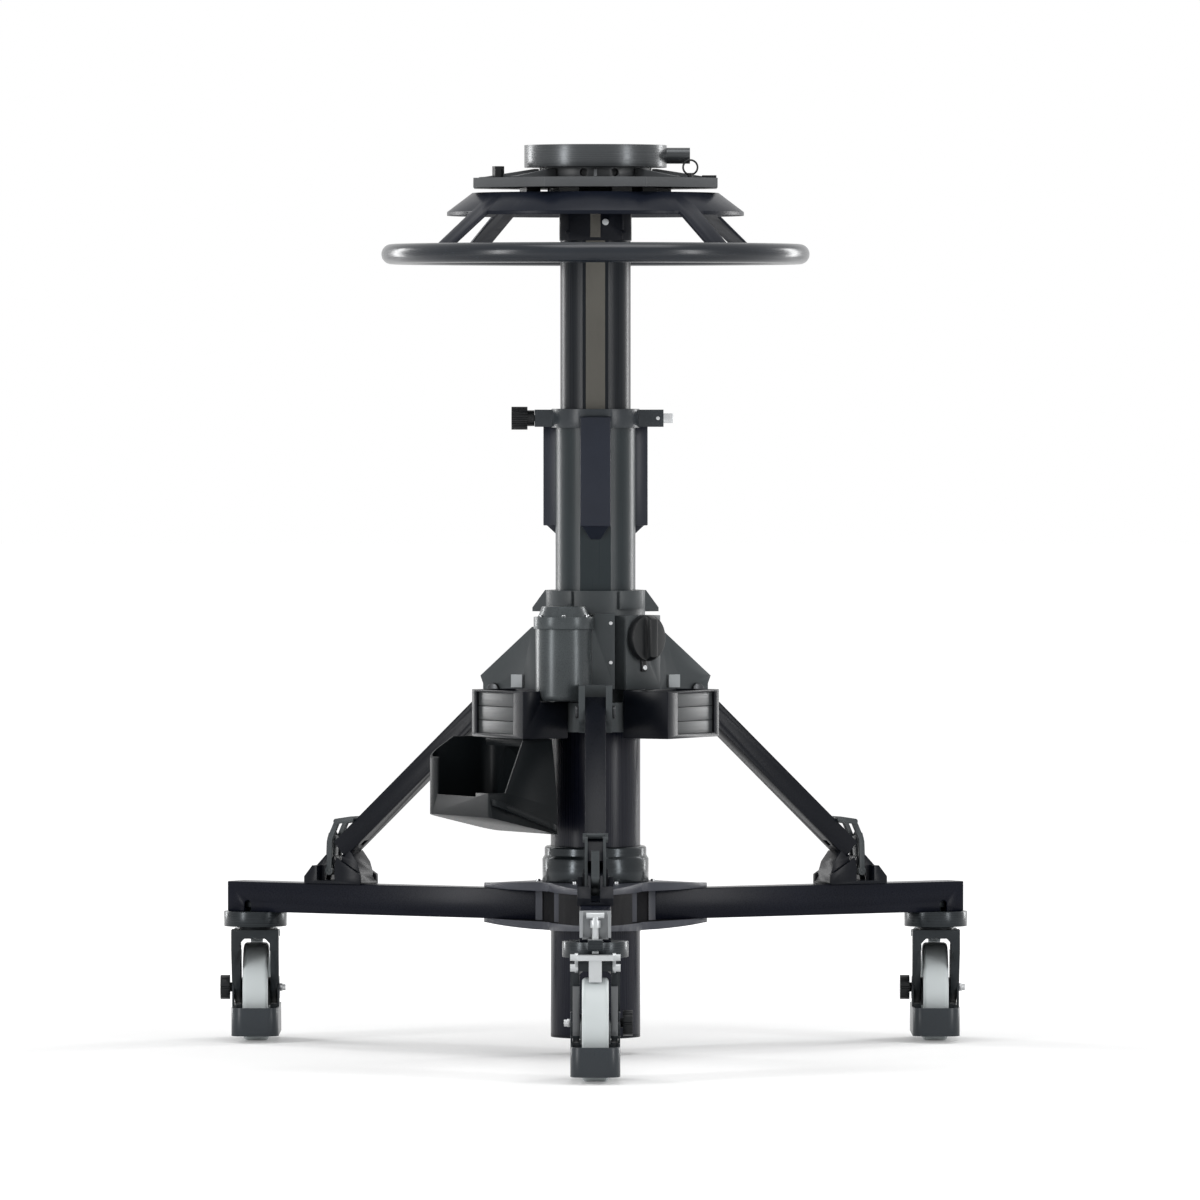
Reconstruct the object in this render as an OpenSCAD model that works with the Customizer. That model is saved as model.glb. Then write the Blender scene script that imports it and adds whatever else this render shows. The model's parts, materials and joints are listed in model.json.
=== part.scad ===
// Studio camera pedestal: tracking skid on three castors, two-stage column, steering ring and camera mount.
// Millimetres, +Z up. The origin is on the floor under the middle of the whole object.

/* [Castors] */
// Distance from the column axis to each castor's swivel axis
castor_r = 500; // [470:5:530]
// Diameter of the castor wheels
wheel_d = 125; // [120:1:130]
// Width of the castor wheels
wheel_w = 32; // [28:1:34]
// Distance from the swivel axis back to the wheel axle
trail = 40; // [38:1:43]
// Diameter of the wheel axle
axle_d = 12; // [10:1:14]
// Diameter of the swivel stem
stem_d = 16; // [14:1:18]
// Diameter of the castor boss under each leg
boss_d = 80; // [76:1:84]
// Height of the castor boss
boss_h = 19; // [16:1:22]
// Outer length of the cable guard round each wheel
guard_len = 156; // [150:2:164]
// Height of the cable guard's wall
guard_h = 36; // [30:1:38]
// Diameter of the knob that clamps the cable guard
guard_knob_d = 31; // [26:1:34]

/* [Skid] */
// Outer width of the square leg tubes
leg_w = 38; // [34:1:42]
// Wall of the leg tubes
leg_wall = 3; // [2:0.5:4]
// Distance from the column axis to the inner end of a leg
leg_inner_r = 76; // [72:1:84]
// Thickness of the two hub plates
hub_plate_t = 6; // [5:0.5:8]
// Distance from the column axis to the tips of the hub plates
hub_tip_r = 162; // [155:1:180]
// Half width of a hub plate's arm at the column axis
hub_arm_half = 62; // [58:1:68]
// Diameter of the seat ring round the column foot
seat_d = 135; // [128:1:142]
// Height of the seat ring
seat_h = 45; // [38:1:48]

/* [Stays and latches] */
// Outer width of the square stay tubes
stay_w = 25.4; // [22:0.2:26]
// Wall of the stay tubes
stay_wall = 2.5; // [1.5:0.5:3]
// Distance from the column axis to the latch pivots
latch_r = 385; // [370:5:410]
// Outer width of a latch bracket
latch_w = 44; // [42:1:46]
// Diameter of the latch pivot pins
latch_pin_d = 8; // [6:0.5:9]
// Slope of the stays
stay_angle = 41.6; // [41:0.1:42]

/* [Column] */
// Outer diameter of the fixed column tube
column_d = 112; // [110:0.5:114]
// Wall of the fixed column tube
column_wall = 4.5; // [3:0.5:4.5]
// Height of the foot of the column above the floor
column_foot_z = 26; // [20:1:40]
// Height of the top of the fixed column tube
column_top_z = 580; // [560:5:600]
// Outer diameter of the middle stage tube
stage_d = 100; // [99:0.2:100.6]
// Distance from the axis to the flats of the middle stage
stage_flat = 46.2; // [45:0.2:47]
// Length of the middle stage that shows above the collar
stage_show = 226; // [215:1:260]
// Outer diameter of the inner column
inner_d = 88; // [86:0.2:88.4]
// Distance from the axis to the flats of the inner column
inner_flat = 41; // [40:0.1:41.2]
// Length of the inner column that shows above the clamp ring
inner_show = 211; // [180:1:260]
// Width of the running tracks on the inner column
track_w = 24; // [18:1:26]
// Overlap of each stage with the stage below it
stage_overlap = 470; // [400:10:480]

/* [Collar] */
// Outer diameter of the collar
collar_d = 124; // [120:1:128]
// Height of the collar
collar_h = 176; // [170:1:190]
// Diameter of the valve housing
valve_d = 70; // [60:1:72]
// Diameter of the column brake knob
brake_knob_d = 57.5; // [50:0.5:60]

/* [Trays and bin] */
// Length of a weight tray
tray_l = 130; // [110:2:134]
// Height of a weight tray
tray_h = 59; // [54:1:62]
// Thickness of the tray walls
tray_wall = 3; // [2:0.5:4]
// Thickness of one trim weight
weight_t = 17.4; // [14:0.2:17.6]
// Width of the storage bin
bin_w = 180; // [150:5:190]
// Thickness of the bin's walls
bin_wall = 3; // [2:0.5:4]

/* [Steering ring] */
// Outer diameter of the steering ring
ring_d = 535; // [500:5:600]
// Diameter of the steering ring's tube
ring_tube_d = 25; // [22:1:30]
// Width of the four spokes
spoke_w = 32; // [26:1:40]
// Diameter of the fairing's lower edge
fairing_d = 371; // [350:1:390]

/* [Camera mount] */
// Width of the weight plate across its flats
plate_w = 304; // [290:2:330]
// Diameter of the lock ring
lock_ring_d = 178; // [170:2:190]
// Diameter of the camera bolt circle
bolt_circle_d = 102; // [90:1:106]
// Diameter of the camera bolt holes
bolt_hole_d = 10.5; // [8:0.5:12]
// Diameter of the hole through the middle of the mount
centre_hole_d = 50; // [40:1:60]

/* [Hidden] */
$fn = 64;

gap = 0.3;       // between faces that pass each other
fit = 0.06;      // radial, on pins and shafts
over = 1;        // how far a cut reaches past the face that it opens

// Directions of the legs round the column, and the way each castor trails
leg_az = [-90, 30, 150];
trail_az = [-90, 90, 90];
tray_az = [-150, -30];
FRONT = 0;
RIGHT = 1;
LEFT = 2;

// Castor heights, from the floor up
tyre_clear = 9;                                  // over the wheel, inside the fork
crown_t = 10;
bearing_h = 4;
axle_z = wheel_d / 2;
slot_top_z = wheel_d + tyre_clear;
crown_z = slot_top_z + crown_t;
boss_z = crown_z + bearing_h;
leg_z = boss_z + boss_h;
leg_top = leg_z + leg_w;
slot_half = wheel_w / 2 + 3;
cheek_t = 8.25;
cheek_half = slot_half + cheek_t;
hood_half = cheek_half + 2.75;
guard_z = 9;
guard_wall = 2.4;
guard_half = hood_half;
guard_rise = 6;
guard_drop = 7;
screw_d = 6;
screw_x = trail - 22;
screw_z = axle_z + 6.5;
knob_y = hood_half + 3;
knob_t = 12;
knob_reach = knob_y + knob_t;
nut_reach = hood_half + 7;

// Where the column axis lies, with the origin in the middle of the whole object
col_x = (knob_reach - max(boss_d / 2, nut_reach)) / 2;
col_y = castor_r * (1 - sin(leg_az[RIGHT])) / 2;

// Skid
leg_end_r = castor_r + 30;
end_plate_t = 4;
plunger_d = 8;
plunger_x = boss_d / 2 + plunger_d / 2 + 1.5;
plunger_rest_z = crown_z + 10;
bore_r = column_d / 2 + 0.2;
hub_core_r = bore_r + 16;
lens_r = (hub_tip_r * hub_tip_r + hub_arm_half * hub_arm_half) / (2 * hub_arm_half);
hub_flat_r = 78;
top_camber = 5;
under_camber = 4;
hub_top_z = leg_top + hub_plate_t + top_camber;

// Stays, from the foot at the latch up to the bolt at the collar
foot_r = latch_r - 17.6;
foot_z = leg_top + 43.5;
foot_low = [foot_r - stay_w / 2 * sin(stay_angle), foot_z - stay_w / 2 * cos(stay_angle)];
bolt_r = [160, 135, 135];
stay_past_bolt = 14;
stay_bolt_d = 10;
clevis_in = stay_w / 2 + gap;
clevis_out = clevis_in + 7.8;
function bolt_l(i) = (foot_r - bolt_r[i]) / cos(stay_angle);
function bolt_z(i) = foot_z + (foot_r - bolt_r[i]) * tan(stay_angle);
function stay_top(r) = foot_z + (foot_r - r) * tan(stay_angle) + stay_w / 2 / cos(stay_angle);

// Latches, with the pivot over the leg: [distance from the column axis, height]
pivot_z = leg_top + 29;
ear_in = 5.6;
ear_out = 9;
claw_pin_d = 5;
claw_pin = [latch_r + 13 * cos(-100), pivot_z + 13 * sin(-100)];
claw_knee = [latch_r - 3.5, pivot_z + 28];
claw_top = [latch_r - 14, pivot_z + 50];
hook_rad = 3.5;
hook = [latch_r - 36.5, stay_top(latch_r - 36.5) + (hook_rad + gap) / cos(stay_angle)];

// Column stages
collar_z = column_top_z + 0.5 - collar_h;
column_id = column_d - 2 * column_wall;
stage_wall = 4.5;
stage_top_z = column_top_z + stage_show;
stage_bottom_z = column_top_z - stage_overlap;
inner_top_z = stage_top_z + inner_show;
inner_bottom_z = stage_bottom_z + 75;
stage_bore = stage_d - 2 * stage_wall;
stage_bore_flat = stage_flat - stage_wall;
inner_wall = 4;
track_t = 1.8;
track_proud = 0.3;
track_face = inner_flat + track_proud;
pad_w = 20;
pad_h = 50;
cover_w = 37.6;
cover_face = 65;
cover_top_z = stage_top_z - 9;
cover_bottom_z = cover_top_z - 136;
clamp_h = 23.5;
clamp_z = stage_top_z - clamp_h + 1;
clamp_r = 55;
ring_wall_r = 50.3;

// Collar details
band_h = 22.5;
valve_x = -39.4;
valve_y = -92;
valve_z = collar_z + 40;
valve_h = 90;
cap_h = 14.5;
cap_cone_h = 13;
cap_r = valve_d / 2 + 2.5;
knob_r = 95;
knob_az = -45;
knob_z = collar_z + 117.5;
brake_shaft_d = 14;
casting_z = collar_z + 53.5;
casting_h = 92;

// Trays and bin
tray_in = 77;
tray_d = 64;
tray_out = tray_in + tray_d;
tray_z = collar_z - 6.5;
weight_d = 20.5;
bin_in = 98;
bin_out = 195;
bin_top_z = tray_z - gap;
bin_corner_r = 20;
mouth_far = -56;
mouth_step = 41;
ledge_slope = 21;

// Head, from the top of the inner column up
block_h = 56.5;
block_z = inner_top_z;
fairing_z = block_z + block_h;
fairing_t = 3;
plate_under_z = fairing_z + fairing_t + 6.1;
plate_t = 12;
plate_top_z = plate_under_z + plate_t;
neck_h = 13.5;
neck_d = 140;
lock_z = plate_top_z + neck_h;
lock_h = 28;
cone_top_r = 154;
cone_slope = 37.1;
ring_z = fairing_z + fairing_t - (ring_d / 2 - ring_tube_d / 2 - cone_top_r) * tan(cone_slope);
spoke_az = [39, 129, 219, 309];

// Frames
module place() { translate([col_x, col_y, 0]) children(); }
module on_leg(i) { place() rotate(leg_az[i]) children(); }
module on_legs() { for (i = [FRONT, RIGHT, LEFT]) on_leg(i) children(); }
module on_castor(i) {
    on_leg(i) translate([castor_r, 0, 0]) rotate(trail_az[i] - leg_az[i]) children();
}
module on_stay(i) { on_leg(i) translate([foot_r, 0, foot_z]) rotate([0, stay_angle, 0]) children(); }
// The right tray is the mirror image of the left one
module on_tray(right) {
    place() rotate(tray_az[right]) mirror([0, right, 0]) children();
}

// Extrudes a profile drawn in (x, z) across y, from -half to half
module across(half) {
    rotate([90, 0, 0]) linear_extrude(2 * half, center = true) children();
}
// A pin along y
module bar(a, b, w) {
    translate(a) rotate(atan2(b[1] - a[1], b[0] - a[0])) translate([0, -w / 2]) square([norm(b - a), w]);
    translate(b) circle(d = w);
}
module pin(d, half) { rotate([90, 0, 0]) cylinder(d = d, h = 2 * half, center = true); }
// A tube section: a circle with a flat facing each leg
module stage_profile(d, flat) {
    intersection() {
        circle(d = d, $fn = 96);
        rotate(leg_az[FRONT] + 180) translate([-flat, -d]) square([2 * d, 2 * d]);
        rotate(leg_az[RIGHT] + 180) translate([-flat, -d]) square([2 * d, 2 * d]);
        rotate(leg_az[LEFT] + 180) translate([-flat, -d]) square([2 * d, 2 * d]);
    }
}
module rounded(x, y, r) {
    square([x - 2 * r, y], center = true);
    square([x, y - 2 * r], center = true);
    for (i = [-1, 1], j = [-1, 1]) translate([i * (x / 2 - r), j * (y / 2 - r)]) circle(r, $fn = 32);
}
module knurled(r, teeth) {
    difference() {
        circle(r);
        for (i = [0 : teeth - 1]) rotate(i * 360 / teeth) translate([r, 0]) circle(r * 0.11, $fn = 16);
    }
}

// Hub plate outline: three arms, each with two curved edges that meet at its tip
module hub_outline(bore) {
    difference() {
        union() {
            circle(hub_core_r);
            for (a = leg_az) rotate(a) intersection() {
                translate([0, hub_arm_half - lens_r]) circle(lens_r, $fn = 180);
                translate([0, lens_r - hub_arm_half]) circle(lens_r, $fn = 180);
                translate([0, -hub_arm_half]) square([hub_tip_r + over, 2 * hub_arm_half]);
            }
        }
        circle(bore);
    }
}

module hub_camber(h) {
    intersection() {
        cylinder(r1 = hub_tip_r - 10, r2 = hub_flat_r, h = h, $fn = 120);
        translate([0, 0, -over]) linear_extrude(h + 2 * over) hub_outline(bore_r);
    }
}

module hub_frame() {
    web_t = 6;
    web_l = 10;
    wall_t = 5;
    wall_in = 86;
    color("#23262a") place() {
        translate([0, 0, leg_z - hub_plate_t]) linear_extrude(hub_plate_t) hub_outline(bore_r);
        translate([0, 0, leg_z - hub_plate_t]) mirror([0, 0, 1]) hub_camber(under_camber);
        translate([0, 0, leg_z]) linear_extrude(leg_w) difference() {
            circle(bore_r + 9);
            circle(bore_r);
        }
        for (a = leg_az, s = [-1, 1]) rotate(a)
            translate([bore_r + 6, s * (leg_w / 2 + gap + web_t / 2) - web_t / 2, leg_z])
                cube([web_l, web_t, leg_w]);
        // Walls that follow the outline on both sides of the front leg
        rotate(leg_az[FRONT]) translate([0, 0, leg_z - over]) linear_extrude(leg_w + over)
            for (s = [-1, 1]) intersection() {
                translate([0, s * (hub_arm_half - lens_r)]) difference() {
                    circle(lens_r - 0.4, $fn = 180);
                    circle(lens_r - 0.4 - wall_t, $fn = 180);
                }
                translate([wall_in, s * (leg_w / 2 + gap + 30) - 30]) square([80, 60]);
            }
    }
}

module hub_top_plate() {
    color("#1c1f23") place() translate([0, 0, leg_top]) {
        linear_extrude(hub_plate_t) hub_outline(bore_r);
        translate([0, 0, hub_plate_t]) hub_camber(top_camber);
    }
}

module seat_ring() {
    rim_h = 13;
    rim_r = seat_d / 2 - 3.8;
    color("#34373b") place() translate([0, 0, hub_top_z]) rotate_extrude($fn = 120) polygon([
        [bore_r, 0], [seat_d / 2 - 1, 0], [seat_d / 2 - 1, seat_h - rim_h - 3], [rim_r + 1, seat_h - rim_h],
        [rim_r, seat_h - rim_h + 1], [rim_r, seat_h - 2], [rim_r - 2, seat_h], [bore_r, seat_h]
    ]);
}

module leg_tubes() {
    notch_w = 10;
    notch_h = 14;
    color("#1b1e22") on_legs() difference() {
        translate([leg_inner_r, -leg_w / 2, leg_z]) cube([leg_end_r - leg_inner_r, leg_w, leg_w]);
        translate([leg_inner_r - over, leg_wall - leg_w / 2, leg_z + leg_wall])
            cube([leg_end_r - leg_inner_r + 2 * over, leg_w - 2 * leg_wall, leg_w - 2 * leg_wall]);
        translate([castor_r, 0, leg_z - over]) cylinder(d = stem_d + 2, h = leg_wall + 2 * over);
        translate([castor_r, 0, leg_z]) pin(notch_w, leg_w);
        translate([castor_r - notch_w / 2, -leg_w, leg_z]) cube([notch_w, 2 * leg_w, notch_h - notch_w / 2]);
        translate([castor_r, 0, leg_z + notch_h - notch_w / 2]) pin(notch_w, leg_w);
    }
}

// Castor boss with the guide arm of the tracking lock, and the plate that closes the leg's end
module leg_end_castings() {
    rib_t = 4;
    guide_w = 18;
    guide_z = boss_z + 9;
    color("#54585c") for (i = [FRONT, RIGHT, LEFT]) {
        on_castor(i) difference() {
            union() {
                translate([0, 0, boss_z]) cylinder(d = boss_d, h = boss_h);
                translate([boss_d / 2 - 6, -guide_w / 2, guide_z]) cube([20, guide_w, leg_z + 4 - guide_z]);
            }
            translate([0, 0, boss_z - over]) cylinder(r = stem_d / 2 + fit, h = boss_h + 2 * over);
            translate([plunger_x, 0, guide_z - over]) cylinder(r = plunger_d / 2 + fit, h = 40);
        }
        on_leg(i) translate([leg_end_r - end_plate_t, 0, leg_z + leg_w / 2])
            cube([2 * end_plate_t, leg_w - 2 * leg_wall - 0.1, leg_w - 2 * leg_wall - 0.1], center = true);
    }
    // Ribs on the front leg's end
    color("#54585c") on_leg(FRONT) {
        translate([leg_end_r, -leg_w / 2, leg_z + 6]) cube([end_plate_t, leg_w, leg_w - 6]);
        for (s = [-1, 1]) translate([leg_end_r, s * (leg_w / 2 - rib_t / 2) - rib_t / 2, leg_z + 6])
            cube([19, rib_t, leg_w - 6]);
    }
}

// Fork: crown, hood on the leading side, two cheeks, stem and axle
module fork(i) {
    lead_x = 33;
    cheek_x = 2;
    tail_x = trail + 16;
    color("#2b2e31") on_castor(i) {
        difference() {
            union() {
                // Hood over the leading side
                across(hood_half) polygon([
                    [-lead_x, crown_z], [-lead_x - 1, crown_z - 26], [cheek_x, screw_z + 5],
                    [cheek_x, crown_z]
                ]);
                // Crown and cheeks, down to the axle
                across(cheek_half) polygon([
                    [0, crown_z], [trail - 2, crown_z], [trail - 2, crown_z - 29], [tail_x, crown_z - 29],
                    [tail_x, axle_z], [trail, axle_z], [trail - 10, axle_z - 12], [screw_x, axle_z - 8.5],
                    [0, screw_z + 7]
                ]);
                translate([trail, 0, axle_z]) pin(2 * (tail_x - trail), cheek_half);
                // Lug between the brake's side plates
                translate([trail - 4, -lug_half, slot_top_z - 4])
                    cube([17, 2 * lug_half, crown_z - slot_top_z + 4]);
                translate([0, 0, crown_z - over]) cylinder(d = 46, h = bearing_h + over - 0.2);
                // Tongues that the tracking lock drops between
                for (s = [-1, 1]) translate([boss_d / 2 + 1, s * 6.7 - 2.3, crown_z - over])
                    cube([10, 4.6, 6 + over]);
            }
            // Wheel slot with an arched top
            translate([trail - wheel_d, -slot_half, -over]) cube([2 * wheel_d, 2 * slot_half, axle_z + over]);
            translate([trail, 0, axle_z]) pin(2 * (slot_top_z - axle_z), slot_half);
            // The slot goes on through the hood, so the tyre shows up to its top
            translate([-lead_x - 4, 0, 0]) rotate([90, 0, 90]) linear_extrude(lead_x + trail - 4) polygon([
                [-slot_half, axle_z - 5], [-slot_half, slot_top_z - 7], [6 - slot_half, slot_top_z - 1],
                [slot_half - 6, slot_top_z - 1], [slot_half, slot_top_z - 7], [slot_half, axle_z - 5]
            ]);
            // Pointed arch scooped out of the hood's leading face
            translate([-lead_x - 2, 0, crown_z - 44]) rotate([90, 0, 90]) linear_extrude(16) intersection() {
                translate([-12, 0]) circle(36);
                translate([12, 0]) circle(36);
            }
            translate([screw_x, 0, screw_z]) pin(screw_d + 2 * fit, hood_half + over);
            translate([trail, 0, axle_z]) pin(axle_d + 2 * fit, hood_half + over);
            translate([brake_x, 0, brake_z]) pin(brake_pin_d + 2 * fit, hood_half);
        }
        // Stem with its nut inside the leg
        translate([0, 0, crown_z + bearing_h - 0.2]) cylinder(d = stem_d, h = leg_z + leg_wall + 16 - boss_z);
        translate([0, 0, leg_z + leg_wall + 2]) cylinder(d = 26, h = 10, $fn = 6);
        // Axle with its two heads
        translate([trail, 0, axle_z]) {
            pin(axle_d, cheek_half + over);
            for (s = [-1, 1]) translate([0, s * (cheek_half + 1.45), 0]) pin(axle_d + 6, 1.4);
        }
        // Bolt and dome nut opposite the guard screw
        translate([screw_x, -slot_half - 0.5, screw_z]) rotate([90, 0, 0])
            cylinder(d = screw_d, h = cheek_t + 8);
        translate([screw_x, -guard_half - gap, screw_z]) rotate([90, 0, 0]) {
            cylinder(d = 11, h = 3.5, $fn = 6);
            cylinder(d = 8.5, h = 7.5);
        }
    }
}
lug_half = 20.4;

wheel_bore = axle_d / 2 + fit;
tyre_in = wheel_d / 2 - 17.5;
module wheel_centre(i) {
    hub_half = slot_half - 0.5;
    hub_r = axle_d / 2 + 12;
    web_half = 5;
    rim_half = wheel_w / 2 - 3;
    color("#8b9093") on_castor(i) translate([trail, 0, axle_z]) rotate([90, 0, 0]) rotate_extrude($fn = 96) {
        translate([wheel_bore, -hub_half]) square([hub_r - wheel_bore, 2 * hub_half]);
        translate([hub_r - over, -web_half]) square([tyre_in - hub_r, 2 * web_half]);
        translate([tyre_in - 6, -rim_half]) square([6, 2 * rim_half]);
    }
}

module tyre(i) {
    shoulder = 5;
    color("#c3cccd") on_castor(i) translate([trail, 0, axle_z]) rotate([90, 0, 0]) rotate_extrude($fn = 96) {
        translate([tyre_in, -wheel_w / 2 + 2]) square([wheel_d / 2 - tyre_in - shoulder, wheel_w - 4]);
        translate([tyre_in + 4, -wheel_w / 2]) square([wheel_d / 2 - tyre_in - 4 - shoulder, wheel_w]);
        translate([tyre_in + 4, -wheel_w / 2 + shoulder])
            square([wheel_d / 2 - tyre_in - 4, wheel_w - 2 * shoulder]);
        for (s = [-1, 1]) translate([wheel_d / 2 - shoulder, s * (wheel_w / 2 - shoulder)]) circle(shoulder);
    }
}

brake_x = trail + 7;
brake_z = crown_z - 7;
brake_pin_d = 6;
// The brake shoe, over the wheel at two distances behind the axle
shoe_near = 14;
shoe_far = 30;
shoe_gap = 3.17;
function shoe_z(x) = axle_z + sqrt(pow(wheel_d / 2, 2) - x * x) + shoe_gap;
module brake(i) {
    plate_in = lug_half + gap;
    plate_out = hood_half + gap;
    bolt = [trail + 20, crown_z + 6];
    bar_z = crown_z + 2.6;
    color("#c9cdce") on_castor(i) {
        // Dog-bone side plates with two bolts each
        for (s = [-1, 1]) translate([0, s * (plate_in + 2), 0]) {
            across(2) union() {
                translate([brake_x, brake_z]) circle(6);
                translate(bolt) circle(5.5);
                translate([brake_x, brake_z]) rotate(atan2(bolt[1] - brake_z, bolt[0] - brake_x))
                    translate([0, -3.5])
                    square([norm([bolt[0] - brake_x, bolt[1] - brake_z]), 7]);
            }
            translate([0, s * ((plate_out - plate_in) / 2 - 2), 0]) {
                translate([brake_x, 0, brake_z]) pin(9, (plate_out - plate_in) / 2);
                translate([bolt[0], 0, bolt[1]]) pin(8, (plate_out - plate_in) / 2);
            }
        }
        for (s = [-1, 1]) translate([brake_x, s * (plate_in - 1.2), brake_z]) pin(brake_pin_d, 2);
        // Tread bar, and the shoe under it
        difference() {
            union() {
                translate([trail + 12.5, -plate_in - over, bar_z]) cube([22.5, 2 * plate_in + 2 * over, 6.4]);
                across(7.8) polygon([
                    [trail + shoe_near, bar_z + over], [trail + shoe_near, shoe_z(shoe_near)],
                    [trail + shoe_far, shoe_z(shoe_far)], [trail + shoe_far, bar_z + over]
                ]);
            }
            cylinder(r = boss_d / 2 + 10, h = 300);
        }
    }
}

// Band round the wheel that pushes cables aside
module cable_guard(i) {
    ear_x = 12;
    slot_r = screw_d / 2 + 0.2;
    ear_top = screw_z + guard_drop + slot_r + 3;
    color("#26292c") on_castor(i) difference() {
        union() {
            translate([trail, 0, guard_z]) linear_extrude(guard_h) difference() {
                rounded(guard_len, 2 * guard_half, 16);
                rounded(guard_len - 2 * guard_wall, 2 * (guard_half - guard_wall), 16 - guard_wall);
            }
            for (s = [-1, 1]) translate([screw_x - ear_x, s * (guard_half - guard_wall / 2) - guard_wall / 2,
                                         guard_z + guard_h - 4])
                cube([2 * ear_x, guard_wall, ear_top - guard_z - guard_h + 4]);
        }
        for (z = [-guard_rise, guard_drop]) translate([screw_x, 0, screw_z + z])
            pin(2 * slot_r, guard_half + over);
        translate([screw_x - slot_r, -guard_half - over, screw_z - guard_rise])
            cube([2 * slot_r, 2 * guard_half + 2 * over, guard_rise + guard_drop]);
    }
}

module guard_screw(i) {
    color("#2a2c2e") on_castor(i) translate([screw_x, slot_half + 1, screw_z]) rotate([-90, 0, 0]) {
        cylinder(d = screw_d, h = knob_y - slot_half);
        translate([0, 0, hood_half + gap - slot_half - 1]) cylinder(d = 12, h = knob_y - hood_half);
        translate([0, 0, knob_y - slot_half - 1]) linear_extrude(knob_t) knurled(guard_knob_d / 2, 8);
    }
}

module tracking_plunger(i) {
    neck_z = leg_z + 18;
    handle_z = leg_z + 29;
    color("#cfd2d2") on_castor(i) translate([plunger_x, 0, 0]) {
        translate([0, 0, plunger_rest_z]) cylinder(d = plunger_d, h = handle_z - plunger_rest_z + 4);
        translate([0, 0, neck_z]) cylinder(d = 12.6, h = 9);
        translate([0, 0, handle_z + 3.75]) pin(7.5, 10.8);
    }
}

// Latch bracket: two cheeks, the sloping seat for the stay and the pivot bolts
module latch_brackets() {
    base_t = 4;
    base_z = leg_top + base_t;
    inner_r = latch_r - 54;
    outer_r = latch_r + 29;
    color("#222529") on_legs() {
        translate([inner_r, -latch_w / 2, leg_top]) cube([outer_r - inner_r, latch_w, base_t]);
        // Seat that takes the corner of the stay
        across(latch_w / 2 - 6) polygon([
            [inner_r, base_z - over], [foot_low[0] + 3, base_z - over],
            [foot_low[0] + 3, foot_low[1] + 3 / tan(stay_angle)], foot_low,
            [foot_low[0] - 9, foot_low[1] + 9 * tan(stay_angle)], [foot_low[0] - 20, foot_low[1] - 6]
        ]);
        for (s = [-1, 1]) translate([0, s * (latch_w / 2 - 3), 0]) across(3) polygon([
            [inner_r, base_z - over], [latch_r - 16, base_z - over], [latch_r - 16, pivot_z - 6],
            [latch_r - 19, pivot_z + 4], [inner_r, pivot_z - 17]
        ]);
        // Outer foot with a free slot for the lever, and the two ears of the pivot
        difference() {
            across(latch_w / 2)
                polygon([[latch_r + 10, base_z - over], [outer_r, base_z - over], [outer_r, leg_top + 9],
                                         [latch_r + 17, leg_top + 23], [latch_r + 10, leg_top + 23]]);
            translate([latch_r, -ear_in, leg_top]) cube([60, 2 * ear_in, 60]);
        }
        for (s = [-1, 1]) translate([0, s * (ear_in + ear_out) / 2, 0]) across((ear_out - ear_in) / 2)
            difference() {
            union() {
                translate([latch_r, pivot_z]) circle(8.5);
                polygon([[latch_r + 5.4, pivot_z + 6.5], [latch_r + 18, leg_top + 23],
                         [latch_r + 26, leg_top + 9],
                         [latch_r + 26, base_z - over], [latch_r + 7, base_z - over],
                         [latch_r + 3, pivot_z - 7]]);
            }
            translate([latch_r, pivot_z]) circle(d = latch_pin_d + 2 * fit);
        }
    }
}

// Bail: two arms from the pivot bolts up to the hook over the stay, drawn together like a letter A
module claw(i) {
    arm_t = 3.5;
    arm_w = 7;
    shift = stay_w / 2 + 2.8 - arm_t / 2;
    inner = ear_out + 0.4 + arm_t / 2;
    color("#2d3033") on_leg(i) {
        for (s = [-1, 1]) {
            // Lower arm beside the pivot, upper arm beside the stay
            translate([0, s * inner, 0]) across(arm_t / 2) difference() {
                union() {
                    translate(claw_pin) circle(5.5);
                    bar(claw_pin, claw_knee, arm_w);
                    bar(claw_knee, claw_top, arm_w);
                }
                translate(claw_pin) circle(d = claw_pin_d + 2 * fit);
            }
            translate([0, s * shift, 0]) across(arm_t / 2) bar(claw_top, hook, arm_w);
            translate([0, s * (inner + shift) / 2, 0]) across((shift - inner + arm_t) / 2)
                translate(claw_top) circle(d = arm_w);
        }
        translate([hook[0], 0, hook[1]]) pin(2 * hook_rad, shift + arm_t / 2);
    }
}

module lever(i) {
    half = ear_in - 0.6;
    tip = [latch_r - 3, pivot_z + 37];
    color("#3a403f") on_leg(i) {
        across(half) union() {
            translate([latch_r, pivot_z]) circle(8.5);
            translate(claw_pin) circle(5.5);
            bar([latch_r, pivot_z], claw_pin, 9);
            polygon([[latch_r - 5, pivot_z], [latch_r - 7, pivot_z + 30], tip, [latch_r + 3, pivot_z + 35],
                     [latch_r + 6, pivot_z + 24], [latch_r + 7, pivot_z]]);
        }
        translate([latch_r, 0, pivot_z]) pin(latch_pin_d, ear_out);
        translate([claw_pin[0], 0, claw_pin[1]]) pin(claw_pin_d, ear_out + 0.4 + 3.5);
    }
}

module stay_tubes() {
    color("#1d2024") for (i = [FRONT, RIGHT, LEFT]) on_stay(i) {
        l = bolt_l(i) + stay_past_bolt;
        difference() {
            translate([-l, -stay_w / 2, -stay_w / 2]) cube([l, stay_w, stay_w]);
            translate([-l - over, stay_wall - stay_w / 2, stay_wall - stay_w / 2])
                cube([l + 2 * over, stay_w - 2 * stay_wall, stay_w - 2 * stay_wall]);
            translate([-bolt_l(i), 0, 0]) pin(stay_bolt_d + 2 * fit, stay_w);
            translate([-32, -4, -stay_w / 2 - over]) cube([10, 8, stay_wall + 2 * over]);
        }
    }
}

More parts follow.
